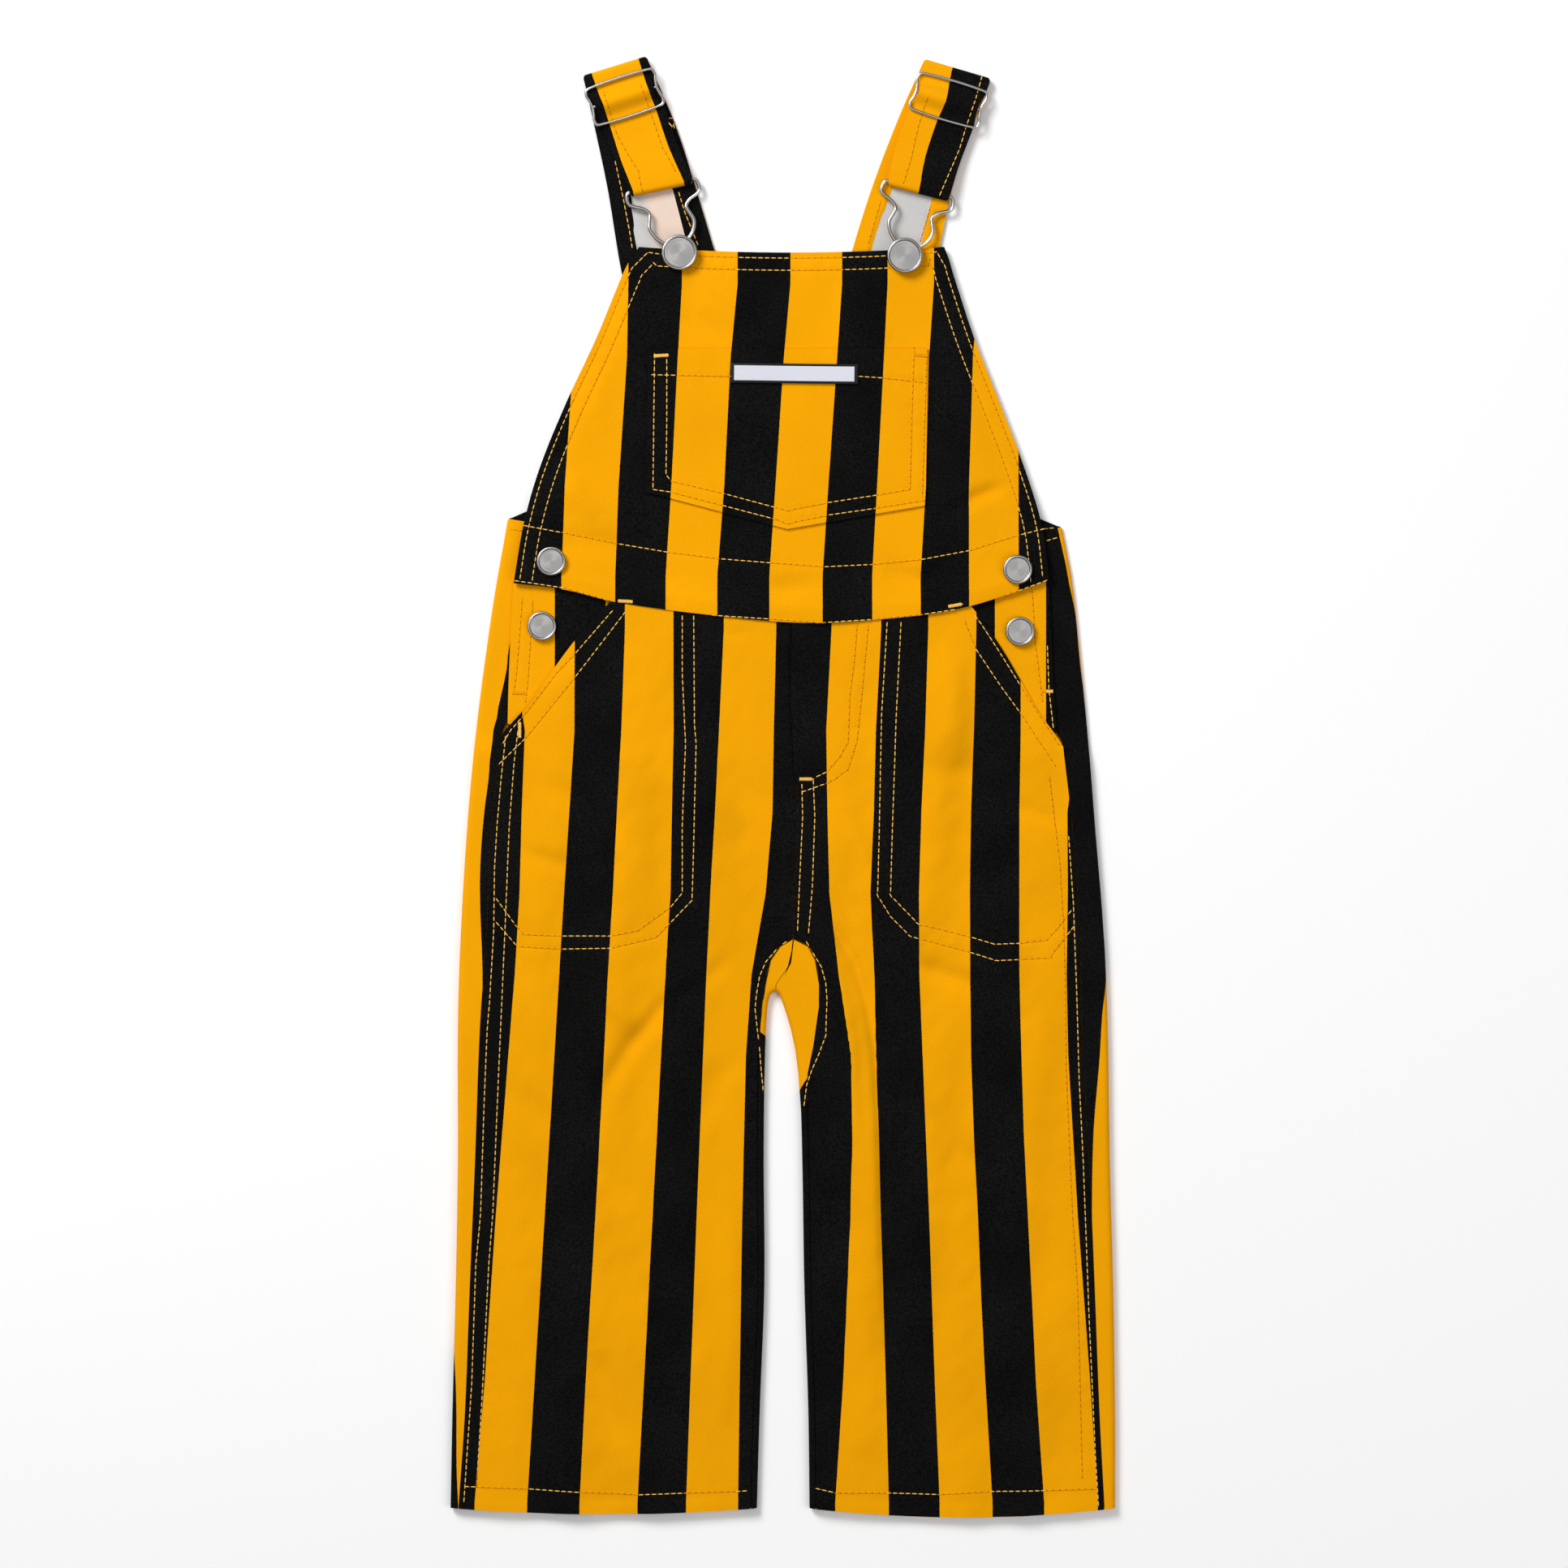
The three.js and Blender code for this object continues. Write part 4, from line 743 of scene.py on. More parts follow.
def pocket_label():
    v = np.linspace(0, 1, 14)[:, None]
    u = np.linspace(0, 1, 80)[None, :]
    width, height, thick = LABEL["width"], LABEL["height"], LABEL["thick"]
    turn = math.radians(LABEL["turn"])
    dx, dy = (u - 0.5) * width + 0 * v, (0.5 - v) * height + 0 * u
    x = LABEL["x"] + dx * math.cos(turn) - dy * math.sin(turn)
    y = LABEL["y"] + dx * math.sin(turn) + dy * math.cos(turn)
    to_edge = np.minimum(np.minimum(u, 1 - u) * width, np.minimum(v, 1 - v) * height)
    rim = 0.22 * (1 - ease(to_edge, 0, 1.1))
    z = bib_height(x, y) + bib_relief(x, y) + LAYER + GAP + thick + 0.18 - rim
    return np.stack([x, y, z], axis=2), np.stack([x, y, z - thick], axis=2)


def back_bib():
    sections = []
    for y_left, y_right, left, right, end_left, end_right, layer in BACK_BIB:
        first = {"fold": (left, y_left), "turn": 180, "end": (end_left, y_left), "layer": layer,
                 "rise": WRAP_TOP, "lead_x": end_left * 0.93}
        last = {"fold": (right, y_right), "turn": 0, "end": (end_right, y_right), "layer": layer,
                "rise": WRAP_TOP, "lead_x": end_right * 0.93}
        sections.append(back_section(first, last, 60))
    return refined(sections, 2.5)


def strap(side):
    """Up the back, over the top, down the front over the slide, and round the bar of the loop."""
    spec = STRAPS[side]
    u = np.linspace(0, 1, 45)[:, None]
    quarter = math.pi / 2
    rows = []

    def row(edges, outer, inner, shift=(0, 0), inner_shift=None, kind="front", pinch=0.0):
        left, right = edges[:2], edges[2:]
        inset_by = pinch / np.linalg.norm(right - left)
        left, right = lerp(left, right, inset_by), lerp(right, left, inset_by)
        place = lerp(left[None], right[None], u)
        inner_shift = shift if inner_shift is None else inner_shift
        rows.append((np.hstack([place + shift, np.full_like(u, outer)]),
                     np.hstack([place + inner_shift, np.full_like(u, inner)]), kind, inset_by))

    def square(edges, sign):
        across = (edges[2:] - edges[:2]) / np.linalg.norm(edges[2:] - edges[:2])
        return np.array([-across[1], across[0]]) * sign

    def turn(edges, normal, reach, low, high, start, stop, steps, kind):
        middle, half = (low + high) / 2, (high - low) / 2
        for theta in np.linspace(start, stop, steps):
            c, s = math.cos(theta), math.sin(theta)
            row(edges, middle + half * s, middle + (half - CLOTH) * s,
                normal * reach * c, normal * (reach - CLOTH) * c, kind, 1.3 * c * c)

    for t in np.linspace(0, 1, 116):
        row(row_read(spec["back"], t), 0, CLOTH, kind="back")
    top = row_read(spec["back"], 1.0)
    turn(top, square(top, 1), STRAP_REACH, 0, STRAP_FOLD, -quarter, quarter, 12, "fold")
    x, y, angle = spec["slide"]
    crest = SLIDE["z"] + SLIDE["wire"] + GAP + CLOTH - STRAP_FOLD
    reach = SLIDE["halfLength"] - 2 * SLIDE["wire"] - 0.1
    for t in np.linspace(0, 1, 62)[1:-1]:
        edges = row_read(spec["front"], t)
        offset = (edges[:2] + edges[2:]) / 2 - (x, y)
        distance = abs(offset @ (-math.sin(math.radians(angle)), math.cos(math.radians(angle))))
        bell = math.cos(distance / reach * quarter) ** 2 if distance < reach else 0.0
        z = STRAP_FOLD + float(ease(t, 0.6, 0.98)) * (STRAP_BAR - STRAP_FOLD) + crest * bell
        row(edges, z, z - CLOTH, pinch=STRAP_PINCH * math.sqrt(bell))
    bar = row_read(spec["front"], 1.0)
    low = STRAP_RETURN - CLOTH
    turn(bar, square(bar, -1), (STRAP_BAR - low) / 2, low, STRAP_BAR, quarter, -quarter, 14, "front")
    for t in np.linspace(1, 0.4, 24)[1:]:
        row(row_read(spec["front"], t), low, STRAP_RETURN, kind="return")
    outer = np.stack([r[0] for r in rows])
    inner = np.stack([r[1] for r in rows])
    kinds = [r[2] for r in rows]
    back = np.array([k == "back" for k in kinds], float)[:, None]
    # Turned hems along both edges of the wrong side.
    # They are wider where the front of the strap covers them.
    a, b = spec["hems"]
    a = a + 0.045 * ease(inner[:, 0, 1], 262, 290)[:, None]
    across = u.T
    hem = np.maximum(1 - ease(across, a - 0.012, a + 0.012), ease(across, b - 0.012, b + 0.012))
    taper = 1 - ease(np.arange(len(rows)), 92, 112)[:, None]
    inner[..., 2] += 0.55 * hem * back * taper
    down = np.interp(np.arange(len(rows)), [128, 189], [0, 4])
    low, high = (np.interp(down, range(5), column)[:, None] for column in np.transpose(spec["bands"]))
    drawn = np.array([r[3] for r in rows])[:, None]
    place = drawn + across * (1 - 2 * drawn)
    s = np.where(place < low, (place - low) / 0.6,
                 np.where(place < high, (place - low) / (high - low), 1 + (place - high) / 0.6))
    wrong = (1 - hem) * np.ones((len(rows), 1))
    edge, slope = spec["ghost"]
    ghost = np.clip((edge - across) / (0.12 * np.sign(slope)) + 0.5, 0, 1) * np.ones((len(rows), 1))
    return outer, inner, s, np.full_like(s, spec["hem_stripe"]), wrong, ghost


# Meshes.
def plain_mesh(name, points, faces, uv=None, wrong=None):
    """A smooth shaded mesh from points in millimetres and four-sided or three-sided faces."""
    points = np.array(points, float)
    points[:, :2] += MIDDLE
    mesh = bpy.data.meshes.new(name)
    mesh.vertices.add(len(points))
    mesh.vertices.foreach_set("co", (points * MM).ravel())
    faces = np.asarray(faces, dtype=np.int32)
    corners = faces.shape[1]
    mesh.loops.add(faces.size)
    mesh.loops.foreach_set("vertex_index", faces.ravel())
    mesh.polygons.add(len(faces))
    mesh.polygons.foreach_set("loop_start", np.arange(0, faces.size, corners, dtype=np.int32))
    mesh.polygons.foreach_set("use_smooth", np.ones(len(faces), dtype=bool))
    if uv is not None:
        layer = mesh.uv_layers.new(name="weave")
        layer.data.foreach_set("uv", np.asarray(uv, np.float32)[faces.ravel()].ravel())
    if wrong is not None:
        attribute = mesh.attributes.new("wrong_side", "FLOAT", "POINT")
        attribute.data.foreach_set("value", np.asarray(wrong, np.float32))
    mesh.update(calc_edges=True)
    if mesh.validate():
        raise RuntimeError(name + " has broken faces")
    mesh.set_sharp_from_angle(angle=math.radians(62))
    return mesh


def grid_faces(rows, columns, start=0):
    a = (np.arange(rows - 1)[:, None] * columns + np.arange(columns - 1)[None, :]).ravel() + start
    return np.stack([a, a + 1, a + columns + 1, a + columns], axis=1)


def wall_mesh(name, outer, inner, uv_outer, uv_inner, wrong_outer, wrong_inner, ghost):
    """A closed wall of cloth between two grids of points. Ghost is 1 where black shows through."""
    rows, columns = outer.shape[:2]
    n = rows * columns
    index = np.arange(n).reshape(rows, columns)
    top = grid_faces(rows, columns)
    under = grid_faces(rows, columns, n)[:, ::-1]

    def rim(line):
        return np.stack([line[:-1], line[:-1] + n, line[1:] + n, line[1:]], axis=1)

    faces = np.concatenate([top, under, rim(index[:, 0])[:, ::-1], rim(index[:, -1]),
                            rim(index[0]), rim(index[-1])[:, ::-1]])
    points = np.concatenate([outer.reshape(-1, 3), inner.reshape(-1, 3)])
    tri = points[faces]
    volume = np.einsum("ij,ij->i", tri[:, 0], np.cross(tri[:, 1], tri[:, 2])).sum() \
        + np.einsum("ij,ij->i", tri[:, 0], np.cross(tri[:, 2], tri[:, 3])).sum()
    if volume < 0:
        faces = faces[:, ::-1]
    uv = np.concatenate([np.stack([uv_outer.ravel(), ghost.ravel()], axis=1),
                         np.stack([uv_inner.ravel(), ghost.ravel()], axis=1)])
    wrong = np.concatenate([wrong_outer.ravel(), wrong_inner.ravel()])
    return plain_mesh(name, points, faces, uv, wrong)


def closed_curve(points, count):
    """Even points on a smooth closed curve through these."""
    p = np.asarray(points, float)
    wrapped = np.concatenate([p[-3:], p, p[:4]])
    gaps = np.sqrt(np.linalg.norm(np.diff(wrapped, axis=0), axis=1))
    keys = np.concatenate([[0], np.cumsum(gaps)])
    at = np.linspace(keys[3], keys[3 + len(p)], 40 * len(p) + 1)
    dense = np.stack([read(keys, wrapped[:, i], at) for i in range(3)], axis=1)
    length = np.concatenate([[0], np.cumsum(np.linalg.norm(np.diff(dense, axis=0), axis=1))])
    even = np.linspace(0, length[-1], count + 1)[:-1]
    return np.stack([np.interp(even, length, dense[:, i]) for i in range(3)], axis=1)


def tube(path, radius, closed, sides=14):
    """Points and faces of a round wire that lies mostly flat."""
    n = len(path)
    forward = (np.roll(path, -1, axis=0) - np.roll(path, 1, axis=0)) if closed else np.gradient(path, axis=0)
    forward /= np.linalg.norm(forward, axis=1, keepdims=True)
    side = np.cross(forward, (0, 0, 1.0))
    side /= np.linalg.norm(side, axis=1, keepdims=True)
    up = np.cross(side, forward)
    angle = np.linspace(0, 2 * math.pi, sides, endpoint=False)
    ring = side[:, None] * np.cos(angle)[None, :, None] + up[:, None] * np.sin(angle)[None, :, None]
    points = (path[:, None] + radius * ring).reshape(-1, 3)
    rows = np.arange(n if closed else n - 1)[:, None]
    columns = np.arange(sides)[None, :]
    a = rows * sides + columns
    b = rows * sides + (columns + 1) % sides
    c, d = (b + sides) % (n * sides), (a + sides) % (n * sides)
    return points, np.stack([a, d, c, b], axis=2).reshape(-1, 4)


def slide_points(side):
    w, l, r, waist = (SLIDE[k] for k in ("halfWidth", "halfLength", "corner", "waist"))
    quarter = [(w - r, l), (w, l - r), (w - waist * 0.6, l * 0.35), (w - waist, 0)]
    half = quarter + [(x, -y) for x, y in quarter[:-1][::-1]]
    outline = half + [(-x, -y) for x, y in quarter] + [(-x, y) for x, y in quarter[:-1][::-1]]
    x, y, angle = STRAPS[side]["slide"]
    c, s = math.cos(math.radians(angle)), math.sin(math.radians(angle))
    place = lambda p: (x + p[0] * c - p[1] * s, y + p[0] * s + p[1] * c, SLIDE["z"])
    ring, ring_faces = tube(closed_curve([place(p) for p in outline], 160), SLIDE["wire"], True)
    ends = np.array([place((-w + waist, 0)), place((w - waist, 0))])
    bar, bar_faces = tube(np.linspace(ends[0], ends[1], 12), SLIDE["wire"], False)
    return np.concatenate([ring, bar]), np.concatenate([ring_faces, bar_faces + len(ring)])


def seat_on_bib(x, y, radius):
    around = [(0, 0), (radius, 0), (-radius, 0), (0, radius), (0, -radius)]
    return max(float(bib_height(x + a, min(y + b, BIB_CORNER))) for a, b in around) + GAP


def loop_points(side):
    ends = np.array(STRAPS[side]["front"][-1], float)
    origin = (ends[:2] + ends[2:]) / 2
    across = (ends[2:] - ends[:2]) / np.linalg.norm(ends[2:] - ends[:2])
    button = STRAPS[side]["button"]
    down = (np.array(button) - origin) / LOOP["buttonV"]
    wire_z = seat_on_bib(*button, LOOP["slot"] + LOOP["wire"]) + LOOP["wire"]
    tip = LOOP["buttonV"] + LOOP["slot"]
    outline = LOOP_OUTLINE + [(0, tip)] + [(-u, v) for u, v in LOOP_OUTLINE[::-1]]
    path = [(*(origin + across * u + down * v), lerp(LOOP["barZ"], wire_z, float(ease(v, 4, 22))))
            for u, v in outline]
    return tube(closed_curve(path, 220), LOOP["wire"], True)


def button_points(shape, x, y, seat):
    """A turned button: shank, rolled rim, and a plain face sunk a little inside it."""
    r, lift, head = shape["radius"], shape["lift"], shape["head"]
    rim = r * 0.84
    top = lift + head
    roll = [(r - 0.75 + 0.75 * math.cos(a), top - 0.8 + 0.8 * math.sin(a))
            for a in np.linspace(-0.4, math.pi - 0.35, 14)]
    profile = [(0.01, 0), (shape["shank"], 0), (shape["shank"], lift), (r - 1, lift), (r - 0.25, lift + 0.35),
               (r, lift + 0.8)] + roll + [
        (rim, top - 0.66), (rim - 0.35, top - 0.6), (r * 0.7, top - 0.48), (r * 0.67, top - 0.52),
        (r * 0.64, top - 0.47), (r * 0.45, top - 0.4), (r * 0.25, top - 0.36), (0.01, top - 0.35)]
    profile = np.array(profile)
    sides = 72
    angle = np.linspace(0, 2 * math.pi, sides, endpoint=False)
    points = np.stack([
        x + profile[:, None, 0] * np.cos(angle), y + profile[:, None, 0] * np.sin(angle),
        seat + profile[:, None, 1] + 0 * angle], axis=2).reshape(-1, 3)
    rows = np.arange(len(profile) - 1)[:, None]
    columns = np.arange(sides)[None, :]
    a, b = rows * sides + columns, rows * sides + (columns + 1) % sides
    return points, np.stack([a, b, b + sides, a + sides], axis=2).reshape(-1, 4)


# Materials.
class Graph:
    """Short names for making nodes and joining them."""

    def __init__(self, name):
        self.material = bpy.data.materials.new(name)
        self.material.use_nodes = True
        self.tree = self.material.node_tree
        self.shader = self.tree.nodes["Principled BSDF"]

    def node(self, kind, inputs=(), **settings):
        made = self.tree.nodes.new(kind)
        for key, value in settings.items():
            setattr(made, key, value)
        for key, value in dict(inputs).items():
            self.put(made.inputs[key], value)
        return made

    def put(self, socket, value):
        if isinstance(value, bpy.types.NodeSocket):
            self.tree.links.new(value, socket)
        else:
            socket.default_value = value

    def math(self, operation, a, b=0.0, c=0.0):
        return self.node("ShaderNodeMath", {0: a, 1: b, 2: c}, operation=operation).outputs[0]

    def mix(self, fac, a, b):
        made = self.node("ShaderNodeMix", {0: fac, 6: a, 7: b}, data_type="RGBA")
        return made.outputs[2]

    def scaled(self, colour, factor):
        return self.node("ShaderNodeVectorMath", {0: colour, "Scale": factor}, operation="SCALE").outputs[0]

    def noise(self, vector, scale, detail=2.0):
        made = self.node("ShaderNodeTexNoise", {"Vector": vector, "Scale": scale, "Detail": detail})
        return made.outputs["Fac"]

    def finish(self, **inputs):
        for key, value in inputs.items():
            self.put(self.shader.inputs[key.replace("_", " ")], value)
        return self.material


TWILL_SLANT = (0.82, 0.57)


def twill_height(g, place, pitch):
    """Diagonal ribs that fall to the right, with the grain of the yarn over them."""
    split = g.node("ShaderNodeSeparateXYZ", {0: place})
    across = g.math("MULTIPLY", split.outputs[0], TWILL_SLANT[0])
    along = g.math("MULTIPLY", split.outputs[1], TWILL_SLANT[1])
    slant = g.math("ADD", across, along)
    wobble = g.math("MULTIPLY", g.noise(place, 260.0), 0.0009)
    turns = g.math("MULTIPLY", g.math("ADD", slant, wobble), 2 * math.pi / pitch)
    rib = g.math("MULTIPLY_ADD", g.math("SINE", turns), 0.5, 0.5)
    return g.math("ADD", rib, g.math("MULTIPLY", g.noise(place, 1500.0), 0.8))


def striped_twill(cloth):
    g = Graph("woven_twill")
    place = g.node("ShaderNodeTexCoord").outputs["Object"]
    weave = g.node("ShaderNodeUVMap", uv_map="weave").outputs[0]
    count, ghost = g.node("ShaderNodeSeparateXYZ", {0: weave}).outputs[:2]
    ragged = g.math("MULTIPLY_ADD", g.noise(place, 1800.0, 0.0), 0.008, -0.004)
    turn = g.math("FRACT", g.math("MULTIPLY", g.math("ADD", count, ragged), 0.5))
    black = g.math("GREATER_THAN", turn, 0.5)
    height = twill_height(g, place, cloth.twill_pitch)
    shade = g.math("MULTIPLY_ADD", g.math("SUBTRACT", height, 0.9), 0.08, 1.0)
    cloudy = g.math("MULTIPLY_ADD", g.noise(place, 26.0), 0.16, 0.92)
    tone = g.math("MULTIPLY", shade, cloudy)
    # Lint and wear, with a painted sheen in soft patches, show more on the black.
    lint_and_sheen = g.math("MULTIPLY_ADD", g.noise(place, 1100.0, 3.0), 4.4, -1.2)
    wear_and_sheen_patches = g.math("MULTIPLY_ADD", g.noise(place, 34.0), 1.5, 0.25)
    wear_and_sheen = g.math("MULTIPLY", g.math("MAXIMUM", lint_and_sheen, 0.25), wear_and_sheen_patches)
    colour = g.mix(black, (*cloth.yellow, 1), g.scaled(cloth.black, wear_and_sheen))
    wrong = g.node("ShaderNodeAttribute", attribute_name="wrong_side").outputs["Fac"]
    white = g.math("GREATER_THAN", wrong, 0.93)
    faint = g.mix(ghost, (*cloth.wrong_side, 1), (*cloth.wrong_side_black, 1))
    colour = g.mix(white, colour, faint)
    bump = g.node("ShaderNodeBump", {"Height": height, "Strength": 0.35, "Distance": 0.00016})
    return g.finish(Base_Color=g.scaled(colour, tone), Roughness=0.9, Specular_IOR_Level=0.05,
                    Sheen_Weight=0.015, Sheen_Roughness=0.5, Normal=bump.outputs[0])


def label_cloth(cloth):
    """Satin label: a black border round a plain pale field."""
    g = Graph("satin_label")
    weave = g.node("ShaderNodeUVMap", uv_map="weave").outputs[0]
    split = g.node("ShaderNodeSeparateXYZ", {0: weave})
    across = g.math("ABSOLUTE", g.math("SUBTRACT", split.outputs[0], 0.5))
    down = g.math("ABSOLUTE", g.math("SUBTRACT", split.outputs[1], 0.5))
    sides = g.math("GREATER_THAN", across, 0.5 - LABEL["sideBorder"] / LABEL["width"])
    ends = g.math("GREATER_THAN", down, 0.5 - LABEL["endBorder"] / LABEL["height"])
    border = g.math("MAXIMUM", sides, ends)
    colour = g.mix(border, (*cloth.label, 1), (*cloth.black, 1))
    ribs = g.math("SINE", g.math("MULTIPLY", split.outputs[1],
                                 LABEL["height"] * 2 * math.pi / LABEL["rib"]))
    bump = g.node("ShaderNodeBump", {"Height": ribs, "Strength": 0.3, "Distance": 0.00008})
    return g.finish(Base_Color=colour, Roughness=0.6, Specular_IOR_Level=0.25, Normal=bump.outputs[0])


def thread_material(sewing):
    g = Graph("gold_thread")
    place = g.node("ShaderNodeTexCoord").outputs["Object"]
    bump = g.node("ShaderNodeBump", {"Height": g.noise(place, 2500.0), "Strength": 0.5, "Distance": 0.0001})
    ground = g.node("ShaderNodeAttribute", attribute_name="ground").outputs["Fac"]
    colour = g.mix(ground, (*sewing.thread, 1), (*sewing.thread_on_black, 1))
    # Painted shade: stitches with ground -1 take the dark colour of the shade inside the needle holes.
    colour = g.mix(g.math("MULTIPLY", ground, -1.0), colour, (*sewing.needle_hole_shade, 1))
    return g.finish(Base_Color=colour, Roughness=0.75, Specular_IOR_Level=0.06,
                    Normal=bump.outputs[0])


def nickel_wire(metal):
    g = Graph("polished_wire")
    return g.finish(Base_Color=(*metal.wire, 1), Metallic=1.0, Roughness=metal.wire_roughness)


def button_metal(metal):
    g = Graph("brushed_button")
    place = g.node("ShaderNodeTexCoord").outputs["Object"]
    stretch = g.node("ShaderNodeVectorMath", {0: place, 1: (900.0, 9000.0, 900.0)}, operation="MULTIPLY")
    brush = g.noise(stretch.outputs[0], 1.0, 3.0)
    bump = g.node("ShaderNodeBump", {"Height": brush, "Strength": 0.04, "Distance": 0.0001})
    rough = g.math("MULTIPLY_ADD", brush, 0.14, metal.button_roughness - 0.07)
    return g.finish(Base_Color=(*metal.button, 1), Metallic=1.0, Roughness=rough, Anisotropic=0.5,
                    Normal=bump.outputs[0])


def floor_material(stage):
    g = Graph("pale_floor")
    return g.finish(Base_Color=(*stage.floor, 1), Roughness=0.9, Specular_IOR_Level=0.1)


# Placing pieces.
def place_piece(mesh, material, nodes=()):
    piece = bpy.data.objects.new(mesh.name, mesh)
    bpy.context.scene.collection.objects.link(piece)
    mesh.materials.append(material)
    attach(piece, "root")
    if nodes:
        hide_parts(*nodes)
    return piece


def shared(name, make, settings):
    return bpy.data.materials.get(name) or make(settings)


def cloth_piece(name, node, grids, stripes, inner_stripes=None, wrong=None, ghost=None):
    outer, inner = grids
    inner_stripes = stripes if inner_stripes is None else inner_stripes
    wrong = np.ones(outer.shape[:2]) if wrong is None else wrong
    ghost = (inner_stripes / 2 % 1 > 0.5) * 1.0 if ghost is None else ghost
    mesh = wall_mesh(name, outer, inner, stripes, inner_stripes, np.zeros(outer.shape[:2]), wrong, ghost)
    material = shared("woven_twill", striped_twill, bpy.context.scene.overalls_cloth)
    return place_piece(mesh, material, [node])


def fresh(names):
    """Takes away pieces of an earlier run."""
    for name in names:
        old = bpy.data.objects.get(name)
        if old is not None:
            bpy.data.objects.remove(old, do_unlink=True)


# Sewing.
def ground_tree(names):
    """One search tree over the cloth pieces that the thread lies on, and which of its faces are black."""
    points, faces, black = [], [], []
    for name in names:
        piece = bpy.data.objects.get(name)
        if piece is None:
            raise RuntimeError("sewing needs the piece " + name)
        mesh = piece.data
        co = np.empty(len(mesh.vertices) * 3)
        mesh.vertices.foreach_get("co", co)
        index = np.empty(len(mesh.loops), dtype=np.int32)
        mesh.loops.foreach_get("vertex_index", index)
        weave = np.empty(len(mesh.loops) * 2)
        mesh.uv_layers["weave"].data.foreach_get("uv", weave)
        count = weave.reshape(-1, 4, 2)[:, :, 0].mean(axis=1)
        black += (count / 2 % 1 > 0.5).tolist()
        faces += (index.reshape(-1, 4) + len(points)).tolist()
        points += (co.reshape(-1, 3) + np.array(piece.matrix_world.translation)).tolist()
    return BVHTree.FromPolygons(points, faces), black


# Length of the short dark marks of painted shade in the needle holes.
HOLE_SHADE_LENGTH = 0.62
# Bar tacks: thread across and along, in millimetres, and the distance from one to the next.
TACK_ACROSS, TACK_ACROSS_PITCH = 2.0, 0.5
TACK_ALONG, TACK_ALONG_PITCH = 3.0, 2.4
THREAD_LIFT = 0.00006


def on_line(line, pitch):
    """Even places along a line in millimetres, with the direction at each."""
    line = np.asarray(line, float)
    size = np.concatenate([[0], np.cumsum(np.linalg.norm(np.diff(line, axis=0), axis=1))])
    at = np.arange(pitch / 2, size[-1], pitch)
    place = np.stack([np.interp(at, size, line[:, i]) for i in range(2)], axis=1)
    ahead = np.stack([np.interp(at + 0.6, size, line[:, i]) for i in range(2)], axis=1)
    behind = np.stack([np.interp(at - 0.6, size, line[:, i]) for i in range(2)], axis=1)
    forward = ahead - behind
    return place, forward / np.linalg.norm(forward, axis=1, keepdims=True)


def stitch_places(ground, lines, tacks, sewing):
    """Centre, direction, normal, length and ground of each stitch laid on the cloth.

    The ground is 1 on black and 0 on yellow, and -1 for a short dark mark of painted shade in the needle
    holes, which shows only on yellow.
    """
    tree, black = ground
    length, pitch = sewing.stitch_length / MM, sewing.stitch_pitch / MM
    wanted = []
    for line in lines:
        place, forward = on_line(line, pitch)
        wanted += [(p, f, length) for p, f in zip(place, forward)]
        # Between stitches, short dark marks of painted shade in the needle holes.
        wanted += [(p + f * pitch / 2, f, HOLE_SHADE_LENGTH) for p, f in zip(place, forward)]
    for tack in tacks:
        line = to_mm(tack)
        place, forward = on_line(line, TACK_ACROSS_PITCH)
        wanted += [(p, (-f[1], f[0]), TACK_ACROSS) for p, f in zip(place, forward)]
        wanted += [(p, f, TACK_ALONG) for p, f in zip(*on_line(line, TACK_ALONG_PITCH))]
    found = []
    for (x, y), forward, reach in wanted:
        top = Vector(((x + MIDDLE[0]) * MM, (y + MIDDLE[1]) * MM, 0.05))
        hit, normal, face, _ = tree.ray_cast(top, Vector((0, 0, -1)))
        if hit is None:
            continue
        if normal.z < 0:
            normal = -normal
        if normal.z < 0.5:
            continue
        shaded_hole = reach == HOLE_SHADE_LENGTH
        if shaded_hole and black[face]:
            continue
        forward = Vector((*forward, 0))
        forward -= normal * forward.dot(normal)
        kind = -1 if shaded_hole else black[face]
        found.append((hit + normal * THREAD_LIFT, forward.normalized(), normal, reach * MM, kind))
    return found


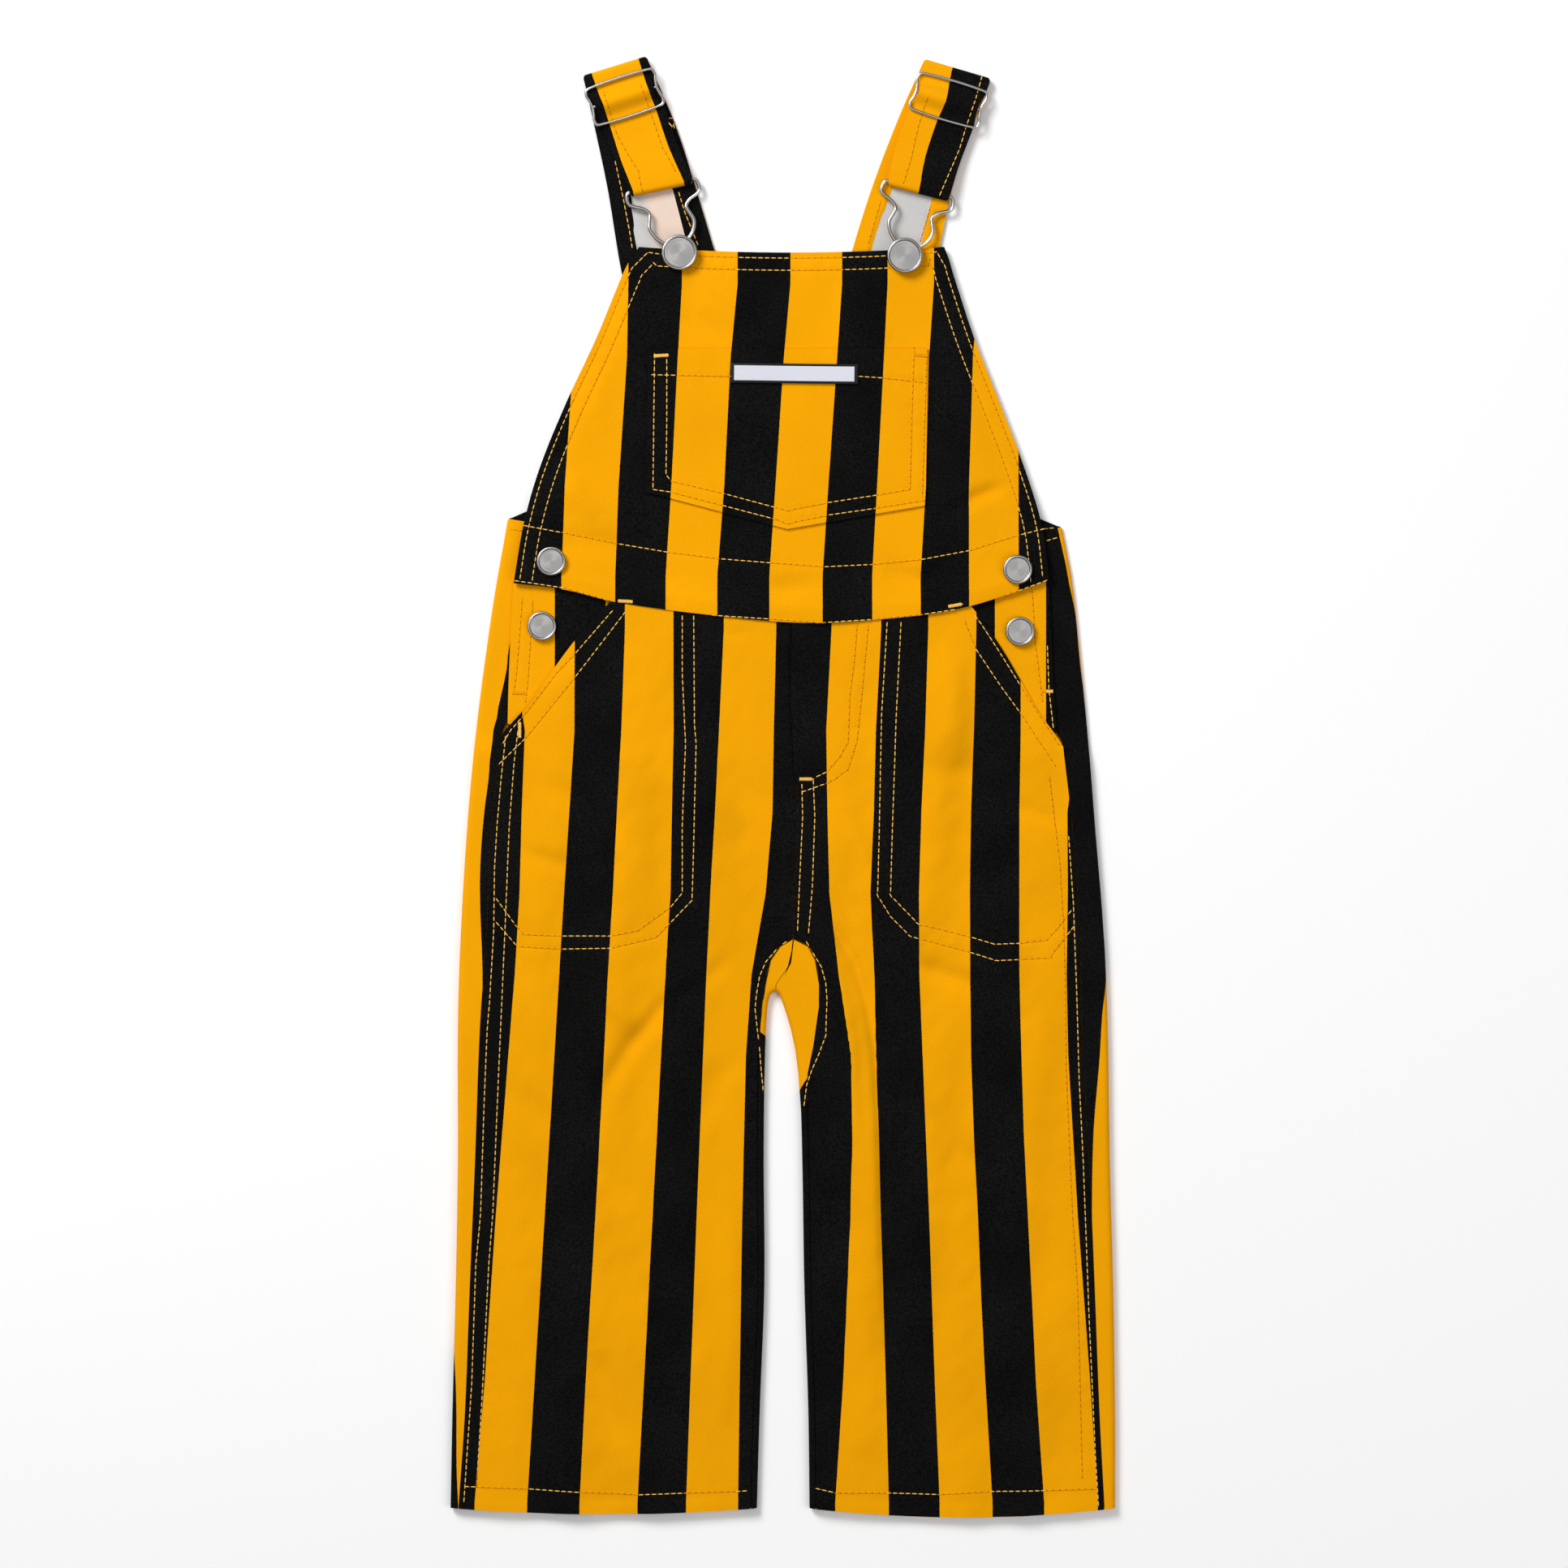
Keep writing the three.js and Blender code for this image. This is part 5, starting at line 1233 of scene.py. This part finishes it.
def stitch_tree():
    """Thread: a rounded stitch at every point, turned along its seam."""
    tree = bpy.data.node_groups.get("stitches")
    if tree:
        return tree
    tree = bpy.data.node_groups.new("stitches", "GeometryNodeTree")
    new = tree.interface.new_socket
    new("Geometry", in_out="INPUT", socket_type="NodeSocketGeometry")
    new("Thread radius", in_out="INPUT", socket_type="NodeSocketFloat")
    new("Unevenness", in_out="INPUT", socket_type="NodeSocketFloat")
    new("Thread", in_out="INPUT", socket_type="NodeSocketMaterial")
    new("Geometry", in_out="OUTPUT", socket_type="NodeSocketGeometry")

    def add(kind, **settings):
        made = tree.nodes.new(kind)
        for key, value in settings.items():
            setattr(made, key, value)
        return made

    def attribute(name, data_type):
        made = add("GeometryNodeInputNamedAttribute", data_type=data_type)
        made.inputs["Name"].default_value = name
        return made.outputs["Attribute"]

    def times(a, b):
        made = add("ShaderNodeMath", operation="MULTIPLY")
        tree.links.new(a, made.inputs[0])
        if isinstance(b, float):
            made.inputs[1].default_value = b
        else:
            tree.links.new(b, made.inputs[1])
        return made.outputs[0]

    link = tree.links.new
    source, target = add("NodeGroupInput"), add("NodeGroupOutput")
    turn = add("FunctionNodeAxesToRotation", primary_axis="Z", secondary_axis="X")
    link(attribute("lie", "FLOAT_VECTOR"), turn.inputs[0])
    link(attribute("forward", "FLOAT_VECTOR"), turn.inputs[1])
    shape = add("GeometryNodeMeshUVSphere")
    shape.inputs["Segments"].default_value = 7
    shape.inputs["Rings"].default_value = 5
    shape.inputs["Radius"].default_value = 1.0
    uneven = add("FunctionNodeRandomValue", data_type="FLOAT")
    uneven.inputs["Seed"].default_value = 11
    floats = [s for s in uneven.inputs if s.type == "VALUE"]
    low = add("ShaderNodeMath", operation="SUBTRACT")
    low.inputs[0].default_value = 1.0
    high = add("ShaderNodeMath", operation="ADD")
    high.inputs[0].default_value = 1.0
    link(source.outputs["Unevenness"], low.inputs[1])
    link(source.outputs["Unevenness"], high.inputs[1])
    link(low.outputs[0], floats[0])
    link(high.outputs[0], floats[1])
    random = next(s for s in uneven.outputs if s.type == "VALUE")
    size = add("ShaderNodeCombineXYZ")
    link(times(times(attribute("reach", "FLOAT"), 0.5), random), size.inputs[0])
    link(source.outputs["Thread radius"], size.inputs[1])
    link(times(source.outputs["Thread radius"], 0.9), size.inputs[2])
    spread = add("GeometryNodeInstanceOnPoints")
    link(source.outputs["Geometry"], spread.inputs["Points"])
    link(shape.outputs["Mesh"], spread.inputs["Instance"])
    link(turn.outputs[0], spread.inputs["Rotation"])
    link(size.outputs[0], spread.inputs["Scale"])
    smooth = add("GeometryNodeSetShadeSmooth")
    real = add("GeometryNodeRealizeInstances")
    paint = add("GeometryNodeSetMaterial")
    link(shape.outputs["Mesh"], smooth.inputs["Geometry"])
    link(smooth.outputs[0], spread.inputs["Instance"])
    link(spread.outputs["Instances"], real.inputs["Geometry"])
    link(real.outputs[0], paint.inputs["Geometry"])
    link(source.outputs["Thread"], paint.inputs["Material"])
    link(paint.outputs[0], target.inputs["Geometry"])
    return tree


def sew(name, ground, lines, tacks=()):
    """One piece of thread on these cloth pieces."""
    sewing = bpy.context.scene.overalls_sewing
    fresh([name])
    places = stitch_places(ground_tree(ground), lines, tacks, sewing)
    if not places:
        raise RuntimeError(name + " found no cloth to lie on")
    mesh = bpy.data.meshes.new(name)
    mesh.from_pydata([p[0] for p in places], [], [])
    for key, column in (("forward", 1), ("lie", 2)):
        attribute = mesh.attributes.new(key, "FLOAT_VECTOR", "POINT")
        attribute.data.foreach_set("vector", np.array([p[column] for p in places], np.float32).ravel())
    for key, column in (("reach", 3), ("ground", 4)):
        attribute = mesh.attributes.new(key, "FLOAT", "POINT")
        attribute.data.foreach_set("value", np.array([p[column] for p in places], np.float32))
    piece = bpy.data.objects.new(name, mesh)
    bpy.context.scene.collection.objects.link(piece)
    tree = stitch_tree()
    modifier = piece.modifiers.new("stitches", "NODES")
    modifier.node_group = tree
    thread = shared("gold_thread", thread_material, sewing)
    values = {"Thread radius": sewing.thread_radius, "Unevenness": sewing.unevenness, "Thread": thread}
    for item in tree.interface.items_tree:
        if item.in_out == "INPUT" and item.name in values:
            modifier[item.identifier] = values[item.name]
    graph = bpy.context.evaluated_depsgraph_get()
    made = bpy.data.meshes.new_from_object(piece.evaluated_get(graph))
    piece.modifiers.clear()
    piece.data = made
    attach(piece, "root")
    return piece


# Sizes and colours that a user would change.
class OverallsCloth(bpy.types.PropertyGroup):
    """Twill and label."""
    yellow: bpy.props.FloatVectorProperty(
        name="Yellow", description="Colour of the yellow stripes", subtype="COLOR", size=3,
        default=(0.80, 0.335, 0.0002), min=0, max=1)
    black: bpy.props.FloatVectorProperty(
        name="Black", description="Colour of the black stripes", subtype="COLOR", size=3,
        default=(0.0040, 0.0037, 0.0036), min=0, max=1)
    wrong_side: bpy.props.FloatVectorProperty(
        name="Wrong side", description="Colour of the unprinted side behind yellow", subtype="COLOR", size=3,
        default=(0.74, 0.585, 0.49), min=0, max=1)
    wrong_side_black: bpy.props.FloatVectorProperty(
        name="Wrong side of black", description="Colour of the unprinted side behind black",
        subtype="COLOR", size=3, default=(0.53, 0.52, 0.51), min=0, max=1)
    label: bpy.props.FloatVectorProperty(
        name="Label", description="Colour of the label's field", subtype="COLOR", size=3,
        default=(0.62, 0.63, 0.70), min=0, max=1)
    twill_pitch: bpy.props.FloatProperty(
        name="Twill pitch", description="Distance from one twill rib to the next", unit="LENGTH",
        default=0.00095, min=0.0003, max=0.004, precision=5)
    grid: bpy.props.FloatProperty(
        name="Grid", description="Size of the faces of the cloth", unit="LENGTH",
        default=0.0017, min=0.001, max=0.01, precision=4)


class OverallsSewing(bpy.types.PropertyGroup):
    """Topstitching."""
    thread: bpy.props.FloatVectorProperty(
        name="Thread", description="Colour of the sewing thread on yellow", subtype="COLOR", size=3,
        default=(0.77, 0.31, 0.002), min=0, max=1)
    thread_on_black: bpy.props.FloatVectorProperty(
        name="Thread on black", description="Colour of the sewing thread on black", subtype="COLOR", size=3,
        default=(0.88, 0.52, 0.11), min=0, max=1)
    # Painted shade: the dark colour of the shade inside the needle holes on yellow.
    needle_hole_shade: bpy.props.FloatVectorProperty(
        name="Needle holes", description="Colour of the needle holes in yellow", subtype="COLOR", size=3,
        default=(0.22, 0.075, 0.001), min=0, max=1)
    thread_radius: bpy.props.FloatProperty(
        name="Thread radius", description="Half the thickness of the thread", unit="LENGTH",
        default=0.00028, min=0.0001, max=0.001, precision=5)
    stitch_length: bpy.props.FloatProperty(
        name="Stitch length", description="Length of thread that shows", unit="LENGTH",
        default=0.0028, min=0.001, max=0.006, precision=4)
    stitch_pitch: bpy.props.FloatProperty(
        name="Stitch pitch", description="Distance from one stitch to the next", unit="LENGTH",
        default=0.0031, min=0.001, max=0.008, precision=4)
    unevenness: bpy.props.FloatProperty(
        name="Unevenness", description="How much stitches differ in length", subtype="FACTOR",
        default=0.07, min=0, max=0.5)


class OverallsMetal(bpy.types.PropertyGroup):
    """Wire and buttons."""
    wire: bpy.props.FloatVectorProperty(
        name="Wire", description="Colour of the slides and loops", subtype="COLOR", size=3,
        default=(0.50, 0.49, 0.48), min=0, max=1)
    button: bpy.props.FloatVectorProperty(
        name="Buttons", description="Colour of the buttons", subtype="COLOR", size=3,
        default=(0.40, 0.39, 0.385), min=0, max=1)
    wire_roughness: bpy.props.FloatProperty(
        name="Wire roughness", description="Roughness of the wire", subtype="FACTOR",
        default=0.27, min=0, max=1)
    button_roughness: bpy.props.FloatProperty(
        name="Button roughness", description="Roughness of the buttons", subtype="FACTOR",
        default=0.30, min=0, max=1)


class OverallsStage(bpy.types.PropertyGroup):
    """Floor, light and camera."""
    floor: bpy.props.FloatVectorProperty(
        name="Floor", description="Colour of the floor", subtype="COLOR", size=3,
        default=(0.93, 0.93, 0.93), min=0, max=1)
    sky: bpy.props.FloatProperty(
        name="Ambient light", description="Strength of the even light", default=0.15, min=0, max=5)
    key: bpy.props.FloatProperty(
        name="Key light", description="Power of the main soft light", unit="POWER",
        default=56, min=0, max=500)
    height: bpy.props.FloatProperty(
        name="Camera height", description="Height of the camera above the floor", unit="LENGTH",
        default=2.5, min=0.5, max=10)


# Operators.
class OVERALLS_OT_legs(bpy.types.Operator):
    """Builds the back and front panels of the legs and the hip facings"""
    bl_idname = "overalls.legs"
    bl_label = "Legs"

    def execute(self, context):
        pitch = context.scene.overalls_cloth.grid / MM
        for side in ("left", "right"):
            fresh(["back_panel_" + side, "front_panel_" + side, "facing_" + side])
            grids = back_leg(side, pitch)
            stripes = back_stripes(side, grids[0])
            column = np.arange(stripes.shape[1])
            lining = (column > LINING_MARGIN) & (column < len(column) - LINING_MARGIN)
            lining = lining * np.ones_like(stripes)
            cloth_piece("back_panel_" + side, "back_leg_" + side, grids, stripes, stripes, lining)
            grids = front_leg(side, pitch)
            stripes = stripes_at(LEG_STRIPES[side], grids[0][..., 0], grids[0][..., 1])
            cloth_piece("front_panel_" + side, "front_leg_" + side, grids, stripes)
            grids = hip_facing(side, pitch)
            px, _ = to_steps(grids[0][..., 0], grids[0][..., 1])
            stripes = (px - 684) / STRIPE + 1 if side == "left" else (px - 1225.5) / STRIPE
            cloth_piece("facing_" + side, "hip_facing_" + side, grids, stripes)
        return {"FINISHED"}


class OVERALLS_OT_bib(bpy.types.Operator):
    """Builds the bib with its pocket and label, and the back behind it"""
    bl_idname = "overalls.bib"
    bl_label = "Bib"

    def execute(self, context):
        cloth = context.scene.overalls_cloth
        pitch = cloth.grid / MM * 0.85
        fresh(["back_top", "bib", "bib_patch_pocket", "label"])
        grids = back_bib()
        x, y = grids[0][..., 0], grids[0][..., 1]
        edge = np.interp(y, *BACK_TOP_STRIPE)
        stripes = np.where(x < 0, np.where((x < -120) & (y < 128.5), 0.5, -0.5), (x - edge) / BACK_STRIPE)
        inner_stripes = np.full_like(x, -0.5)
        cloth_piece("back_top", "back_bib", grids, stripes, inner_stripes, (y < 105) * (np.abs(x) < 105))
        grids = bib_panel(pitch)
        cloth_piece("bib", "front_bib", grids, stripes_at(BIB_STRIPES, grids[0][..., 0], grids[0][..., 1]))
        grids = bib_pocket(pitch)
        stripes = stripes_at(BIB_STRIPES, grids[0][..., 0], grids[0][..., 1])
        cloth_piece("bib_patch_pocket", "bib_pocket", grids, stripes)
        outer, inner = pocket_label()
        rows, columns = outer.shape[:2]
        u = np.broadcast_to(np.linspace(0, 1, columns)[None, :], (rows, columns))
        blank = np.zeros((rows, columns))
        mesh = wall_mesh("label", outer, inner, u, u, blank, blank, blank)
        down = np.repeat(np.linspace(0, 1, rows), columns)
        index = np.empty(len(mesh.loops), dtype=np.int32)
        mesh.loops.foreach_get("vertex_index", index)
        uv = np.stack([np.tile(u.ravel(), 2), np.tile(down, 2)], axis=1).astype(np.float32)
        mesh.uv_layers["weave"].data.foreach_set("uv", uv[index].ravel())
        place_piece(mesh, shared("satin_label", label_cloth, cloth), ["pocket_label"])
        return {"FINISHED"}


class OVERALLS_OT_straps(bpy.types.Operator):
    """Builds both straps, folded over the slides and the bars of the wire loops"""
    bl_idname = "overalls.straps"
    bl_label = "Straps"

    def execute(self, context):
        for side in ("left", "right"):
            fresh(["shoulder_strap_" + side])
            outer, inner, stripes, hems, wrong, ghost = strap(side)
            cloth_piece("shoulder_strap_" + side, "strap_" + side, (outer, inner),
                        stripes, hems, wrong, ghost)
        return {"FINISHED"}


class OVERALLS_OT_metal(bpy.types.Operator):
    """Builds the slides, wire loops and buttons"""
    bl_idname = "overalls.metal"
    bl_label = "Metal parts"

    def execute(self, context):
        metal = context.scene.overalls_metal
        wire = shared("polished_wire", nickel_wire, metal)
        face = shared("brushed_button", button_metal, metal)
        for side in ("left", "right"):
            fresh(["slide_wire_" + side, "loop_wire_" + side, "bib_stud_" + side])
            place_piece(plain_mesh("slide_wire_" + side, *slide_points(side)), wire,
                        ["slide_" + side])
            place_piece(plain_mesh("loop_wire_" + side, *loop_points(side)), wire,
                        ["wire_loop_" + side])
            x, y = STRAPS[side]["button"]
            points = button_points(BIB_BUTTON, x, y, seat_on_bib(x, y, BIB_BUTTON["shank"]))
            place_piece(plain_mesh("bib_stud_" + side, *points), face, ["bib_button_" + side])
        for node, (x, y, on) in SIDE_BUTTONS.items():
            name = node.replace("side_button", "side_stud")
            fresh([name])
            seat = seat_on_bib(x, y, SIDE_BUTTON["shank"]) if on == "bib" else FACING_TOP + GAP
            points = button_points(SIDE_BUTTON, x, y, seat)
            place_piece(plain_mesh(name, *points), face, [node])
        return {"FINISHED"}


class OVERALLS_OT_sewing(bpy.types.Operator):
    """Sews the topstitching and bar tacks on the cloth"""
    bl_idname = "overalls.sewing"
    bl_label = "Sewing"

    def execute(self, context):
        legs = ["front_panel_left", "front_panel_right", "facing_left", "facing_right",
                "back_panel_left", "back_panel_right", "back_top"]
        facings = [to_mm(line) for side in FACING_LINES.values() for line in side]
        for side in ("left", "right"):
            extra = facings if side == "left" else []
            tacks = BAR_TACKS["facings"] + BAR_TACKS["legs"] if side == "left" else []
            sew("leg_stitches_" + side, legs, leg_lines(side) + extra, tacks)
        bib = edge_seams() + [to_mm(line) for line in BIB_LINES.values()]
        bib += [to_mm(line) for line in POCKET_LINES.values()]
        sew("bib_stitches", ["bib", "bib_patch_pocket"], bib, BAR_TACKS["pockets"] + BAR_TACKS["waist"])
        straps = ["shoulder_strap_left", "shoulder_strap_right", "bib"]
        sew("strap_stitches", straps, [to_mm(line) for line in STRAP_LINES])
        return {"FINISHED"}


class OVERALLS_OT_stage(bpy.types.Operator):
    """Adds the floor, the light and the camera"""
    bl_idname = "overalls.stage"
    bl_label = "Stage"

    def execute(self, context):
        scene = context.scene
        stage = scene.overalls_stage
        fresh(["floor", *LAMPS, "camera"])
        mesh = bpy.data.meshes.new("floor")
        r = FLOOR_REACH
        mesh.from_pydata([(-r, -r, 0), (r, -r, 0), (r, r, 0), (-r, r, 0)], [], [(0, 1, 2, 3)])
        floor = bpy.data.objects.new("floor", mesh)
        floor.location.z = CAD_BOX[0][2] - FLOOR_DROP
        mesh.materials.append(shared("pale_floor", floor_material, stage))
        scene.collection.objects.link(floor)
        world = bpy.data.worlds.new("studio")
        world.use_nodes = True
        world.node_tree.nodes["Background"].inputs[0].default_value = (1, 1, 1, 1)
        world.node_tree.nodes["Background"].inputs[1].default_value = stage.sky
        scene.world = world
        for name, (place, size, share) in LAMPS.items():
            light = bpy.data.lights.new(name, "AREA")
            light.size = size
            light.energy = stage.key * share
            lamp = bpy.data.objects.new(name, light)
            lamp.location = place
            lamp.visible_camera = False
            lamp.rotation_euler = (-Vector(place)).to_track_quat("-Z", "Y").to_euler()
            scene.collection.objects.link(lamp)
        lens = bpy.data.cameras.new("camera")
        lens.sensor_width = SENSOR
        lens.lens = SENSOR * stage.height / (PHOTO_WIDTH * STEP * MM)
        lens.clip_end = 20
        camera = bpy.data.objects.new("camera", lens)
        camera.location = (*CAMERA_PLACE, stage.height)
        scene.collection.objects.link(camera)
        scene.camera = camera
        scene.view_settings.view_transform = "Standard"
        return {"FINISHED"}


class OVERALLS_PT_panel(bpy.types.Panel):
    """Sizes, colours and steps of the overalls"""
    bl_idname = "OVERALLS_PT_panel"
    bl_label = "Bib Overalls"
    bl_space_type = "VIEW_3D"
    bl_region_type = "UI"
    bl_category = "Overalls"

    def draw(self, context):
        for name, group in GROUPS.items():
            box = self.layout.box()
            settings = getattr(context.scene, name)
            for key in group.__annotations__:
                box.prop(settings, key)
        for operator in OPERATORS:
            self.layout.operator(operator.bl_idname)


GROUPS = {
    "overalls_cloth": OverallsCloth,
    "overalls_sewing": OverallsSewing,
    "overalls_metal": OverallsMetal,
    "overalls_stage": OverallsStage,
}
OPERATORS = (
    OVERALLS_OT_legs, OVERALLS_OT_bib, OVERALLS_OT_straps, OVERALLS_OT_metal, OVERALLS_OT_sewing,
    OVERALLS_OT_stage,
)


def register():
    for cls in (*GROUPS.values(), *OPERATORS, OVERALLS_PT_panel):
        bpy.utils.register_class(cls)
    for name, group in GROUPS.items():
        setattr(bpy.types.Scene, name, bpy.props.PointerProperty(type=group))


def unregister():
    for name in GROUPS:
        delattr(bpy.types.Scene, name)
    for cls in reversed((*GROUPS.values(), *OPERATORS, OVERALLS_PT_panel)):
        bpy.utils.unregister_class(cls)


def main():
    register()
    for operator in OPERATORS:
        group, name = operator.bl_idname.split(".")
        getattr(getattr(bpy.ops, group), name)()


if __name__ == "__main__":
    main()
